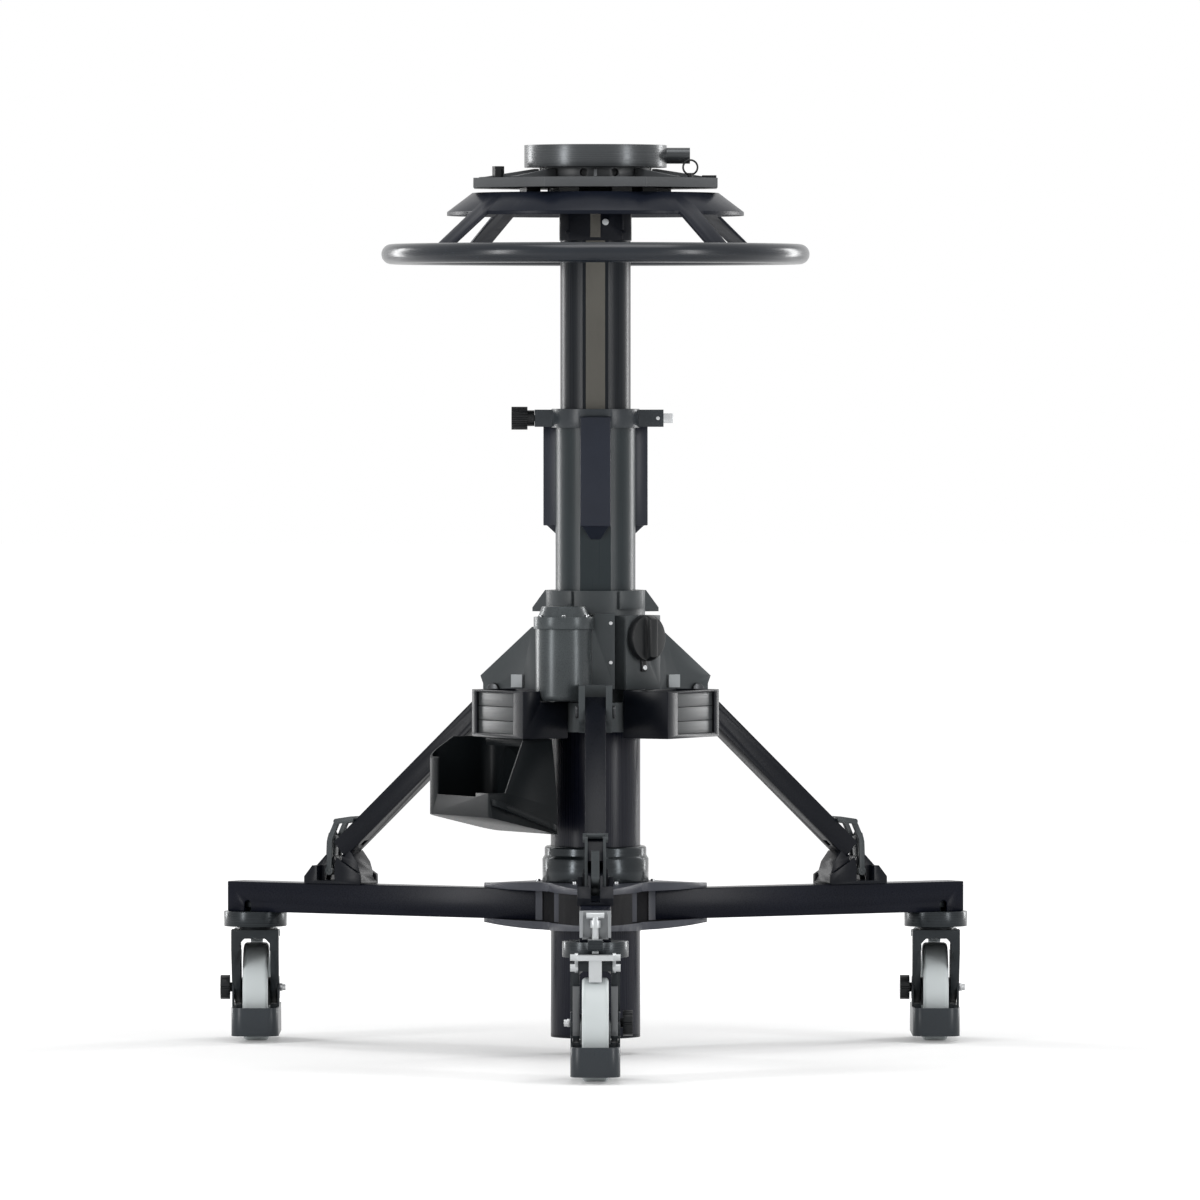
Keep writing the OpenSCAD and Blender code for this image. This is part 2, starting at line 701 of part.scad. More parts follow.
module stay_bolts() {
    color("#8c9092") for (i = [FRONT, RIGHT, LEFT]) on_stay(i) translate([-bolt_l(i), 0, 0]) {
        pin(stay_bolt_d, clevis_out);
        for (s = [-1, 1]) translate([0, s * (clevis_out + 2), 0]) pin(stay_bolt_d + 6, 2);
    }
}

module column_tube() {
    color("#202327") place() difference() {
        translate([0, 0, column_foot_z]) cylinder(d = column_d, h = column_top_z - column_foot_z, $fn = 96);
        translate([0, 0, column_foot_z - over])
            cylinder(d = column_id, h = column_top_z - column_foot_z + 2 * over, $fn = 96);
        for (a = leg_az) rotate(a) translate([0, -pad_w / 2 - 0.2, column_top_z - 70])
            cube([column_d, pad_w + 0.4, pad_h + 0.4]);
    }
}

module column_foot() {
    color("#2a2d30") place() translate([0, 0, column_foot_z - 4]) {
        cylinder(d = column_d, h = 4 - 0.01, $fn = 96);
        cylinder(d = column_id - 0.2, h = 22, $fn = 96);
    }
}

// Collar: sleeve, top band, stay gussets, valve housing, brake casting and tray arms
module collar() {
    top = collar_z + collar_h;
    wing_z = collar_z + 149;
    pillar_x = 60;
    color("#2c2f32") place() difference() {
        union() {
            translate([0, 0, collar_z]) cylinder(d = collar_d, h = collar_h, $fn = 120);
            // Pillars at the two front corners of the top band
            for (s = [-1, 1]) intersection() {
                translate([0, 0, top - band_h]) cylinder(d = collar_d + 8, h = band_h, $fn = 120);
                translate([s > 0 ? 30 : -pillar_x, -collar_d, top - band_h])
                    cube([pillar_x - 30, collar_d, band_h]);
            }
            for (i = [RIGHT, LEFT]) rotate(leg_az[i]) {
                side_gusset();
                across(24) polygon([[bore_r, top], [59, top], [77.4, wing_z + 5], [77.4, wing_z],
                                    [bore_r, wing_z]]);
            }
            rotate(leg_az[FRONT]) front_clevis();
            // Valve housing with a rounded lower edge, and its bridge to the sleeve
            translate([valve_x, valve_y, valve_z]) rotate_extrude() {
                translate([0, 7]) square([valve_d / 2, valve_h - 7]);
                square([valve_d / 2 - 7, 20]);
                translate([valve_d / 2 - 7, 7]) circle(7);
            }
            rotate(atan2(valve_y, valve_x)) translate([bore_r, -18, valve_z + 6])
                cube([20, 36, valve_h - 12]);
            // Brake casting behind the knob
            rotate(knob_az) translate([bore_r, -30, casting_z]) cube([28, 60, casting_h]);
            translate([-7, -88, casting_z + 1]) cube([31, 44, casting_h + 1.5]);
            // Arms that carry the two trays
            for (a = tray_az) rotate(a) translate([bore_r, -22, collar_z + 3])
                cube([tray_in - bore_r, 44, 32]);
            // Cable clips on the gussets
            for (i = [RIGHT, LEFT]) rotate(leg_az[i]) translate([100, 0, collar_z + 61.5])
                cube([16, 2 * clevis_out + 8, 16], center = true);
        }
        translate([0, 0, collar_z - over]) cylinder(r = bore_r, h = collar_h + 2 * over, $fn = 96);
        rotate(knob_az) translate([bore_r - 2, 0, knob_z]) rotate([0, 90, 0])
            cylinder(r = brake_shaft_d / 2 + fit, h = 40);
        // Pockets for the guide pads
        for (a = leg_az) rotate(a) translate([0, -pad_w / 2 - 0.2, column_top_z - 70])
            cube([pad_out, pad_w + 0.4, pad_h + 0.4]);
        for (i = [FRONT, RIGHT, LEFT]) rotate(leg_az[i]) translate([bolt_r[i], 0, bolt_z(i)])
            pin(stay_bolt_d + 2 * fit, clevis_out + over);
        // Room for the valve cap beside the brake casting
        translate([valve_x, valve_y, valve_z + valve_h]) cylinder(r = cap_r + gap, h = cap_h + 5);
        // Room for the stays between the gussets
        for (i = [RIGHT, LEFT]) rotate(leg_az[i]) translate([stay_room_r, -clevis_in, bolt_z(i) - 51.3])
            cube([80, 2 * clevis_in, 128]);
        rotate(leg_az[FRONT]) translate([front_room_r, -clevis_in, bolt_z(FRONT) - 29.1])
            cube([60, 2 * clevis_in, 80]);
    }
}
stay_room_r = 104;
front_room_r = 127;
pad_out = column_d / 2 + 3;

// The gussets and the clevis reach out round the stay bolts
module side_gusset() {
    bolt = bolt_z(RIGHT);
    across(clevis_out) polygon([
        [bore_r, collar_z + 129.5], [80, collar_z + 129.5], [bolt_r[RIGHT] + 20, bolt + 17.2],
        [bolt_r[RIGHT] + 16, bolt + 7.2], [bolt_r[RIGHT] + 16, bolt - 14.8],
        [bolt_r[RIGHT] - 15, bolt - 49.3], [bore_r, collar_z + 1]
    ]);
}

module front_clevis() {
    across(33.8) polygon([
        [bore_r, collar_z + 1], [90, collar_z + 1], [90, collar_z + 37.5], [bore_r, collar_z + 37.5]
    ]);
    bolt = bolt_z(FRONT);
    across(clevis_out) polygon([
        [88, collar_z + 2], [88, collar_z + 38.5], [bolt_r[FRONT] - 43, bolt + 11.4],
        [bolt_r[FRONT] - 43, bolt + 32.4], [bolt_r[FRONT] + 8, bolt + 32.4],
        [bolt_r[FRONT] + 14, bolt + 15.9], [bolt_r[FRONT] + 14, bolt - 10.1], [bolt_r[FRONT] - 12, bolt - 26.1]
    ]);
}

module collar_guide_pads() {
    color("#d8d4c8") place() for (a = leg_az) rotate(a) {
        translate([stage_flat + gap, -pad_w / 2, column_top_z - 69.8])
            cube([pad_out - stage_flat - gap - 0.1, pad_w, pad_h]);
    }
}

module valve_cap() {
    color("#3b3e41") place() translate([valve_x, valve_y, valve_z + valve_h]) {
        cylinder(r = cap_r, h = cap_h);
        translate([0, 0, cap_h]) rotate_extrude()
            polygon([[0, 0], [32, 0], [27, cap_cone_h], [0, cap_cone_h]]);
        for (a = [0 : 60 : 359]) rotate(a + 30) translate([cap_r - 3.2, 0, cap_h])
            cylinder(d = 4.5, h = 2, $fn = 16);
    }
}

module brake_knob() {
    disc_t = 9;
    color("#2b2d30") place() rotate(knob_az) translate([0, 0, knob_z]) rotate([0, 90, 0]) {
        translate([0, 0, bore_r + 4]) cylinder(d = brake_shaft_d, h = knob_r - bore_r - 8);
        translate([0, 0, knob_r - disc_t]) {
            cylinder(d = brake_knob_d, h = disc_t, $fn = 96);
            translate([0, 0, disc_t]) intersection() {
                cylinder(d1 = brake_knob_d, d2 = brake_knob_d - 10, h = 9, $fn = 96);
                translate([-brake_knob_d, -6, 0]) cube([2 * brake_knob_d, 12, 9]);
            }
        }
    }
}

// Weight trays: open boxes with a window on the outer side
module weight_trays() {
    color("#25282b") for (right = [0, 1]) on_tray(right) difference() {
        translate([tray_in, -tray_l / 2, tray_z]) cube([tray_d, tray_l, tray_h]);
        translate([tray_in + tray_wall, tray_wall - tray_l / 2, tray_z + tray_wall])
            cube([tray_d - 2 * tray_wall, tray_l - 2 * tray_wall, tray_h]);
        translate([tray_out - tray_wall - over, -tray_l / 2 + 12, tray_z + tray_wall + 2])
            cube([tray_wall + 2 * over, tray_l - 38, tray_h - 2 * tray_wall - 2]);
        // Clearance round the valve housing
        if (!right) rotate(-tray_az[0]) translate([valve_x, valve_y, valve_z - 1])
            cylinder(d = valve_d + 3, h = tray_h);
    }
}

module trim_weights() {
    color("#4a4e50") for (right = [0, 1], k = [0, 1, 2]) on_tray(right)
        translate([tray_out - tray_wall - 0.5 - weight_d, -tray_l / 2 + tray_wall + 1,
                   tray_z + tray_wall + gap + k * (weight_t + gap)])
            cube([weight_d, tray_l - 2 * tray_wall - 2, weight_t]);
}

// Storage bin under the left tray: a low scoop whose front side leans in over a ledge
module storage_bin() {
    rim_z = tray_z - 71;
    step_z = rim_z + 5;
    tall_z = tray_z - 27;
    near_end = bin_w / 2 + over;
    color("#303436") on_tray(0) {
        difference() {
            bin_body(0);
            bin_body(bin_wall);
            // Mouth: low in the outer wall, a step higher round the near corner
            translate([bin_out - 45, mouth_far, rim_z]) cube([60, mouth_step - mouth_far, 120]);
            translate([0, (mouth_step + near_end) / 2 - 0.5, 0]) across((near_end - mouth_step) / 2 + 0.5)
                polygon([[bin_out + over, step_z], [171, step_z], [136, bin_top_z + 5],
                         [bin_out + over, bin_top_z + 5]]);
            // Far wall, which falls towards the outside
            across(bin_w) polygon([[bin_out + over, tall_z], [bin_out - 42, bin_top_z + over],
                                   [bin_out + over, bin_top_z + over]]);
        }
        // Flange that hangs from the tray
        translate([bin_in, -50, bin_top_z - 10]) cube([tray_out - bin_in - 12, 100, 10]);
        // Ledge that slopes down along the near side
        intersection() {
            translate([0, 0, 200]) linear_extrude(300) bin_outline(0);
            translate([bin_in, 0, tray_z - 117]) rotate([0, -ledge_slope, 0])
                translate([-10, bin_w / 2 - 11.6, 0]) cube([bin_out, 12, 7]);
        }
    }
}

module bin_outline(inset) {
    translate([(bin_in + bin_out) / 2, 0])
        rounded(bin_out - bin_in - 2 * inset, bin_w - 2 * inset, bin_corner_r - inset);
}

module bin_body(inset) {
    near = bin_w / 2 - 10 - inset;
    intersection() {
        translate([0, 0, 200]) linear_extrude(300) bin_outline(inset);
        across(bin_w) polygon([[bin_in - 5, tray_z - 120.2 + inset], [bin_out + 5, tray_z - 94.8 + inset],
                               [bin_out + 5, bin_top_z + inset], [bin_in - 5, bin_top_z + inset]]);
        translate([bin_in - 10, 0, 0]) rotate([90, 0, 90]) linear_extrude(bin_out) polygon([
            [-bin_w, 0], [near, 0], [near, tray_z - 100], [near - 20, bin_top_z + 10],
            [-bin_w, bin_top_z + 10]
        ]);
    }
}

module stage_tube() {
    foot_h = 14;
    color("#22262a") place() difference() {
        union() {
            translate([0, 0, stage_bottom_z]) linear_extrude(stage_top_z - stage_bottom_z)
                stage_profile(stage_d, stage_flat);
            // Wider foot that runs in the column tube
            translate([0, 0, stage_bottom_z]) cylinder(d = column_id - 2 * gap, h = foot_h, $fn = 96);
        }
        translate([0, 0, stage_bottom_z - over]) linear_extrude(stage_top_z - stage_bottom_z + 2 * over)
            stage_profile(stage_bore, stage_bore_flat);
        for (a = leg_az) rotate(a) translate([0, -pad_w / 2 - 0.2, cover_top_z - 72])
            cube([stage_d, pad_w + 0.4, pad_h + 0.4]);
    }
}

module roller_covers() {
    color("#24282d") place() for (a = leg_az) rotate(a) {
        translate([stage_flat, -cover_w / 2, cover_bottom_z]) difference() {
            cube([cover_face - stage_flat, cover_w, cover_top_z - cover_bottom_z]);
            translate([-over, cover_w / 2 - pad_w / 2 - 0.2, cover_top_z - cover_bottom_z - 72])
                cube([pad_cover - stage_flat + over, pad_w + 0.4, pad_h + 0.4]);
        }
        // Wedge below the cover
        intersection() {
            across(cover_w / 2 - 2) polygon([[stage_flat, cover_bottom_z], [cover_face - 4, cover_bottom_z],
                                             [stage_flat, cover_bottom_z - 17]]);
            rotate([90, 0, 90]) linear_extrude(cover_face) polygon([
                [cover_w / 2 - 2, cover_bottom_z], [6, cover_bottom_z - 17], [-6, cover_bottom_z - 17],
                [2 - cover_w / 2, cover_bottom_z]
            ]);
        }
    }
}
pad_cover = 58;

module stage_guide_pads() {
    color("#d8d4c8") place() for (a = leg_az) rotate(a)
        translate([track_face + gap, -pad_w / 2, cover_top_z - 71.8])
            cube([pad_cover - track_face - gap - 0.1, pad_w, pad_h]);
}

// Clamp ring round the head of the middle stage, notched over the roller covers
module clamp_ring() {
    color("#2e3134") place() difference() {
        union() {
            translate([0, 0, clamp_z]) cylinder(r = clamp_r, h = clamp_h, $fn = 120);
            translate([-76, -9, clamp_z + 1]) cube([24, 18, clamp_h - 2]);
            translate([50, -11, clamp_z + 1]) cube([35, 22, clamp_h - 2]);
        }
        translate([0, 0, clamp_z - over]) cylinder(r = ring_wall_r, h = clamp_h + 2 * over, $fn = 96);
        for (a = leg_az) rotate(a) translate([40, -cover_w / 2 - gap, clamp_z - over])
            cube([40, cover_w + 2 * gap, cover_top_z - clamp_z + over + gap]);
        // Split of the ring inside its fork, and the two cross bores
        translate([64, -5, clamp_z - over]) cube([30, 10, clamp_h + 2 * over]);
        translate([78, 0, clamp_mid]) pin(5 + 2 * fit, 20);
        translate([-90, 0, clamp_mid]) rotate([0, 90, 0]) cylinder(r = 4 + fit, h = 30);
    }
}
clamp_mid = clamp_z + clamp_h / 2;

module clamp_ring_knob() {
    color("#1f2124") place() translate([0, 0, clamp_mid]) rotate([0, -90, 0]) {
        translate([0, 0, 62]) cylinder(d = 8, h = 24);
        translate([0, 0, 76 + gap]) cylinder(d = 20, h = 9);
        translate([0, 0, 85]) linear_extrude(20) knurled(14.5, 16);
    }
}

module clamp_ring_lever() {
    color("#9a9ea0") place() translate([78, 0, clamp_mid]) {
        pin(5, 11);
        pin(12, 4.6);
        translate([0, -4.6, -6]) cube([19, 9.2, 12]);
    }
}

module inner_column() {
    color("#1e2226") place() difference() {
        translate([0, 0, inner_bottom_z]) linear_extrude(inner_top_z - inner_bottom_z)
            stage_profile(inner_d, inner_flat);
        translate([0, 0, inner_bottom_z - over]) linear_extrude(inner_top_z - inner_bottom_z + 2 * over)
            stage_profile(inner_d - 2 * inner_wall, inner_flat - inner_wall);
        for (a = leg_az) rotate(a)
            translate([track_face - track_t, -track_w / 2 - 0.05, inner_bottom_z - over])
            cube([10, track_w + 0.1, inner_top_z - inner_bottom_z + 2 * over]);
    }
}

// Plug that closes the inner column at its foot
module inner_foot() {
    color("#2a2d30") place() translate([0, 0, inner_bottom_z - 6]) {
        linear_extrude(6) stage_profile(inner_d, inner_flat);
        linear_extrude(26) stage_profile(inner_d - 2 * inner_wall - 0.2, inner_flat - inner_wall - 0.1);
    }
}

module track_strips() {
    color("#77716a") place() for (a = leg_az) rotate(a)
        translate([track_face - track_t, -track_w / 2, inner_bottom_z + 10])
            cube([track_t, track_w, inner_top_z - inner_bottom_z - 10]);
}

module head_block() {
    color("#141619") place() {
        translate([0, 0, block_z]) linear_extrude(block_h) intersection() {
            square(90, center = true);
            circle(56);
        }
        translate([0, 0, block_z - 32]) linear_extrude(32)
            stage_profile(inner_d - 2 * inner_wall - 0.2, inner_flat - inner_wall - 0.1);
        translate([-6.25, -46, block_z + 4]) cube([12.5, 2, 40]);
        for (x = [-35, 35]) translate([x, -45, block_z + 10]) rotate([90, 0, 0])
            cylinder(d = 5, h = 1.2, $fn = 24);
        translate([12.5, -45, block_z + 23]) rotate([90, 0, 0]) cylinder(d = 8, h = 3);
    }
}

// Fairing: a flat crown, a cone and four spokes that carry the cone's line on to the steering ring
module fairing() {
    edge_r = fairing_d / 2;
    ring_axis_r = ring_d / 2 - ring_tube_d / 2;
    top = fairing_z + fairing_t;
    function cone_z(r) = top - (r - cone_top_r) * tan(cone_slope);
    drop = fairing_t / cos(cone_slope);
    color("#22282c") place() difference() {
        union() {
            translate([0, 0, fairing_z]) cylinder(r = cone_top_r - 1, h = fairing_t, $fn = 120);
            intersection() {
                rotate_extrude($fn = 120) polygon([
                    [cone_top_r - 3, top], [cone_top_r, top], [ring_axis_r, cone_z(ring_axis_r)],
                    [ring_axis_r, cone_z(ring_axis_r) - drop], [cone_top_r - 3, top - fairing_t]
                ]);
                translate([0, 0, ring_z - 20]) linear_extrude(200) union() {
                    circle(edge_r, $fn = 120);
                    for (a = spoke_az) rotate(a) translate([0, -spoke_w / 2]) square([ring_axis_r, spoke_w]);
                }
            }
        }
        translate([0, 0, ring_z]) rotate_extrude($fn = 120) translate([ring_axis_r, 0])
            circle(ring_tube_d / 2 + 0.1, $fn = 48);
    }
}

module handling_ring() {
    color("#20252a") place() translate([0, 0, ring_z]) rotate_extrude($fn = 120)
        translate([ring_d / 2 - ring_tube_d / 2, 0]) circle(d = ring_tube_d, $fn = 48);
}

// Weight plate: eight-sided, with a bevelled rim, radial ribs and spacer pads under it
module weight_plate() {
    rim_r = 112;
    rim_h = 8;
    color("#2b2e31") place() {
        difference() {
            union() {
                translate([0, 0, plate_under_z]) rotate(22.5)
                    cylinder(d = plate_w / cos(22.5), h = plate_t, $fn = 8);
                translate([0, 0, plate_top_z]) rotate_extrude($fn = 120)
                    polygon([[rim_r - 14, -over], [plate_w / 2 - 4, -over], [plate_w / 2 - 4, 0],
                             [rim_r, rim_h],
                             [rim_r - 6, rim_h], [rim_r - 14, 0]]);
                for (a = [0 : 45 : 359]) rotate(a) translate([neck_d / 2 + gap, -2, plate_top_z - over])
                    cube([rim_r - neck_d / 2 - 4 - gap, 4, rim_h]);
                translate([0, 0, fairing_z + fairing_t]) cylinder(r = 60, h = plate_under_z - fairing_z);
            }
            translate([0, 0, fairing_z]) cylinder(d = centre_hole_d, h = 60);
            // Seats of the plug, the end block and the lanyard's post
            translate([plug_x, 0, sunk_z]) cylinder(d = plug_d + 2 * gap, h = 20);
            translate([block_x - gap, -block_w / 2 - gap, sunk_z]) cube([30, block_w + 2 * gap, 20]);
            translate([post_at[0], post_at[1], sunk_z]) cylinder(d = post_d + 2 * gap, h = 20);
        }
    }
}
sunk_z = plate_top_z - 1;
plug_x = -121.5;
plug_d = 15;
block_x = 133;
block_w = 20;
post_at = [118, -62];
post_d = 7;

// Neck with the seat of the camera head
module head_seat() {
    color("#2a2c2f") place() difference() {
        union() {
            translate([0, 0, plate_top_z]) cylinder(d = neck_d, h = neck_h, $fn = 96);
            translate([0, 0, lock_z - over]) cylinder(r = seat_neck_r, h = lip_h + 2 * over, $fn = 96);
            translate([0, 0, lock_z + lip_h + gap]) cylinder(r = seat_flange_r, h = seat_flange_t, $fn = 96);
        }
        translate([0, 0, plate_top_z - over]) cylinder(d = centre_hole_d, h = 60);
        for (a = [45 : 90 : 359]) rotate(a) translate([bolt_circle_d / 2, 0, plate_top_z - over])
            cylinder(d = bolt_hole_d, h = 60);
        // Blind holes round the neck
        for (a = [-102, -70, 20, 110, 200]) rotate(a) translate([neck_d / 2 - 8, 0, plate_top_z + neck_h / 2])
            rotate([0, 90, 0]) cylinder(d = 10, h = 12);
    }
}
seat_neck_r = neck_d / 2 - 6;
seat_flange_r = neck_d / 2 + 4;
seat_flange_t = 8;
lip_h = 7;

// Ring that turns on the seat and locks the head
module lock_ring() {
    grip_d = 20;
    grip_r = 118;
    color("#303336") place() difference() {
        union() {
            translate([0, 0, lock_z + gap]) cylinder(d = lock_ring_d, h = lock_h - gap, $fn = 120);
            translate([lock_ring_d / 2 - 6, 0, lock_z + lock_h / 2 + 1]) rotate([0, 90, 0])
                cylinder(d = grip_d, h = grip_r - lock_ring_d / 2 + 6);
        }
        translate([0, 0, lock_z - over]) cylinder(r = seat_neck_r + gap, h = lock_h, $fn = 96);
        translate([0, 0, lock_z + lip_h]) cylinder(r = seat_flange_r + gap, h = lock_h, $fn = 96);
        // Split of the ring
        rotate(12) translate([seat_neck_r, -2, lock_z]) cube([40, 4, lock_h + over]);
    }
}
// Stop block, plug and the short lanyard loop on the weight plate
module head_fittings() {
    loop_r = 9;
    color("#101214") place() {
        translate([plug_x, 0, sunk_z]) cylinder(d = plug_d, h = 16.4, $fn = 6);
        translate([block_x, -block_w / 2, sunk_z]) cube([18, block_w, 5]);
        // Wire loop of the safety lanyard on its post
        translate([post_at[0], post_at[1], sunk_z]) {
            cylinder(d = post_d, h = 7);
            translate([0, 0, 5 + loop_r]) rotate([90, 0, 0]) rotate_extrude() translate([loop_r, 0])
                circle(1.2);
        }
    }
    // Spacer pads under the plate
    color("#9a958b") place() for (a = [-110, -70, -45, 20, 70, 110, 160, 200])
        rotate(a) translate([78, -13, fairing_z + fairing_t])
            cube([18, 26, plate_under_z - fairing_z - fairing_t]);
}

hub_frame();
hub_top_plate();
seat_ring();
leg_tubes();
leg_end_castings();
latch_brackets();
column_tube();
column_foot();
collar();
collar_guide_pads();
valve_cap();
stay_tubes();
stay_bolts();
weight_trays();
trim_weights();
storage_bin();
stage_tube();
roller_covers();
stage_guide_pads();
clamp_ring();
inner_column();
track_strips();
inner_foot();
head_block();
fairing();
handling_ring();
weight_plate();
head_seat();
head_fittings();
brake_knob();
clamp_ring_knob();
clamp_ring_lever();
lock_ring();
fork(FRONT);  // fork_front
fork(RIGHT);  // fork_right
fork(LEFT);  // fork_left
tyre(FRONT);  // tyre_front
tyre(RIGHT);  // tyre_right
tyre(LEFT);  // tyre_left
wheel_centre(FRONT);  // wheel_centre_front
wheel_centre(RIGHT);  // wheel_centre_right
wheel_centre(LEFT);  // wheel_centre_left
brake(FRONT);  // brake_front
brake(RIGHT);  // brake_right
brake(LEFT);  // brake_left
cable_guard(FRONT);  // cable_guard_front
cable_guard(RIGHT);  // cable_guard_right
cable_guard(LEFT);  // cable_guard_left
guard_screw(FRONT);  // guard_screw_front
guard_screw(RIGHT);  // guard_screw_right
guard_screw(LEFT);  // guard_screw_left
tracking_plunger(FRONT);  // tracking_plunger_front
tracking_plunger(RIGHT);  // tracking_plunger_right
tracking_plunger(LEFT);  // tracking_plunger_left
lever(FRONT);  // lever_front
lever(RIGHT);  // lever_right
lever(LEFT);  // lever_left
claw(FRONT);  // claw_front
claw(RIGHT);  // claw_right
claw(LEFT);  // claw_left
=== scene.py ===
"""Looks of a studio camera pedestal, built round its CAD frame in metres."""

import json
import math

import bmesh
import bpy
from mathutils import Matrix, Vector


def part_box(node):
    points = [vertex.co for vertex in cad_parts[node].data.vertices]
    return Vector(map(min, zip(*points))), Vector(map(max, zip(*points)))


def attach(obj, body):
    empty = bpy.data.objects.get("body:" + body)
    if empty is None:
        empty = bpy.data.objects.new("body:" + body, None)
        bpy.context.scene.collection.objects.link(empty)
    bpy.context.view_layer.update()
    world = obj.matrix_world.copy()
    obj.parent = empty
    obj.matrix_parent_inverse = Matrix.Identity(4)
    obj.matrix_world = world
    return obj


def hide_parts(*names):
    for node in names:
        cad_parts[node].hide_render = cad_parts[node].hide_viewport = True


MM = 0.001
SIDES = ("front", "right", "left")
LEG_AZIMUTH = {"front": -90, "right": 30, "left": 150}
TRAIL_AZIMUTH = {"front": -90, "right": 90, "left": 90}

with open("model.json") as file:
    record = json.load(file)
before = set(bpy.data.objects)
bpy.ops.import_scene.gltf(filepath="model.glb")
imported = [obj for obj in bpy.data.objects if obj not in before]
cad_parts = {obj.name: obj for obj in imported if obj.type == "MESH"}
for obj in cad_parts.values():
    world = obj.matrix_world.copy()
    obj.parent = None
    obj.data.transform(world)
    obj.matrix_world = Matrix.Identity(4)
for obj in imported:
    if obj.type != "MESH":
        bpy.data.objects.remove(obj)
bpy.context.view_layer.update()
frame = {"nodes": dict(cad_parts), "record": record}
body_of = {node: body for body, nodes in frame["record"]["behaviour"]["bodies"].items() for node in nodes}


def centre(node):
    low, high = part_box(node)
    return (low + high) / 2


def height(node):
    low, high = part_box(node)
    return low.z, high.z


axis = centre("seat_ring")
axis.z = 0


def local(point):
    """A point in millimetres from the foot of the column axis."""
    return (point - axis) / MM


def castor_local(point, side):
    """A point in millimetres from the castor's stem: x along its trail, y across it."""
    castor_reach = 500
    away = math.radians(LEG_AZIMUTH[side])
    stem = axis + Vector((math.cos(away), math.sin(away), 0)) * castor_reach * MM
    return Matrix.Rotation(-math.radians(TRAIL_AZIMUTH[side]), 3, "Z") @ ((point - stem) / MM)


# Materials

# How much of a noise's range is spread over the two tones and over the gloss
TONE_STOPS = (0.35, 0.65)
GLOSS_STOPS = (0.3, 0.7)

# Depth of the surface's grain
TURNING_MARKS = 0.006 * MM
FINE_GRAIN = 0.02 * MM
MEDIUM_GRAIN = 0.03 * MM
COARSE_GRAIN = 0.05 * MM

# Stretch of the lines of drawn and turned metal
LINES_UP = (1, 1, 0.004)
LINES_ROUND = (0.004, 0.004, 1)


def new_material(name):
    material = bpy.data.materials.new(name)
    material.use_nodes = True
    nodes = material.node_tree.nodes
    nodes.clear()
    output = nodes.new("ShaderNodeOutputMaterial")
    shader = nodes.new("ShaderNodeBsdfPrincipled")
    material.node_tree.links.new(shader.outputs["BSDF"], output.inputs["Surface"])
    return material, shader


def noise(material, scale, detail, stretch=(1, 1, 1)):
    """A noise on Object coordinates; returns its factor socket."""
    nodes, links = material.node_tree.nodes, material.node_tree.links
    coordinates = nodes.new("ShaderNodeTexCoord")
    mapping = nodes.new("ShaderNodeMapping")
    mapping.inputs["Scale"].default_value = stretch
    links.new(coordinates.outputs["Object"], mapping.inputs["Vector"])
    texture = nodes.new("ShaderNodeTexNoise")
    texture.inputs["Scale"].default_value = scale
    texture.inputs["Detail"].default_value = detail
    links.new(mapping.outputs["Vector"], texture.inputs["Vector"])
    return texture.outputs[0]


def vary_gloss(material, shader, factor, smoothest, roughest):
    node = material.node_tree.nodes.new("ShaderNodeMapRange")
    node.inputs["From Min"].default_value = GLOSS_STOPS[0]
    node.inputs["From Max"].default_value = GLOSS_STOPS[1]
    node.inputs["To Min"].default_value = smoothest
    node.inputs["To Max"].default_value = roughest
    material.node_tree.links.new(factor, node.inputs["Value"])
    material.node_tree.links.new(node.outputs["Result"], shader.inputs["Roughness"])


def vary_tone(material, shader, factor, colour, variation):
    ramp = material.node_tree.nodes.new("ShaderNodeValToRGB")
    for stop, place, share in zip(ramp.color_ramp.elements, TONE_STOPS, (1 - variation, 1 + variation)):
        stop.color = (*[part * share for part in colour], 1)
        stop.position = place
    material.node_tree.links.new(factor, ramp.inputs["Fac"])
    material.node_tree.links.new(ramp.outputs["Color"], shader.inputs["Base Color"])


def bump(material, shader, factor, strength, depth):
    node = material.node_tree.nodes.new("ShaderNodeBump")
    node.inputs["Strength"].default_value = strength
    node.inputs["Distance"].default_value = depth
    material.node_tree.links.new(factor, node.inputs["Height"])
    material.node_tree.links.new(node.outputs["Normal"], shader.inputs["Normal"])


def coated(name, colour, roughness, grain=900, grain_depth=FINE_GRAIN, metallic=0.0, specular=0.5,
           variation=0.12, drift=0.05):
    """Paint or moulding: broad tone drift, fine grain in the gloss and a fine-textured surface."""
    tone_scale = 9
    grain_strength = 0.35
    material, shader = new_material(name)
    vary_tone(material, shader, noise(material, tone_scale, detail=3), colour, variation)
    fine = noise(material, grain, detail=1)
    vary_gloss(material, shader, fine, roughness - drift, roughness + drift)
    shader.inputs["Metallic"].default_value = metallic
    shader.inputs["Specular IOR Level"].default_value = specular
    bump(material, shader, fine, grain_strength, grain_depth)
    return material


def drawn(name, colour, roughness, metallic=0.0, specular=0.5, along=LINES_UP, depth=FINE_GRAIN):
    """Extruded, anodised, brushed or turned metal: fine lines along one direction."""
    tone_scale, variation = 6, 0.1
    line_scale, line_strength = 1400, 0.25
    smoother, rougher = 0.05, 0.06
    material, shader = new_material(name)
    lines = noise(material, line_scale, detail=2, stretch=along)
    vary_tone(material, shader, noise(material, tone_scale, detail=2), colour, variation)
    vary_gloss(material, shader, lines, roughness - smoother, roughness + rougher)
    shader.inputs["Metallic"].default_value = metallic
    shader.inputs["Specular IOR Level"].default_value = specular
    bump(material, shader, lines, line_strength, depth)
    return material


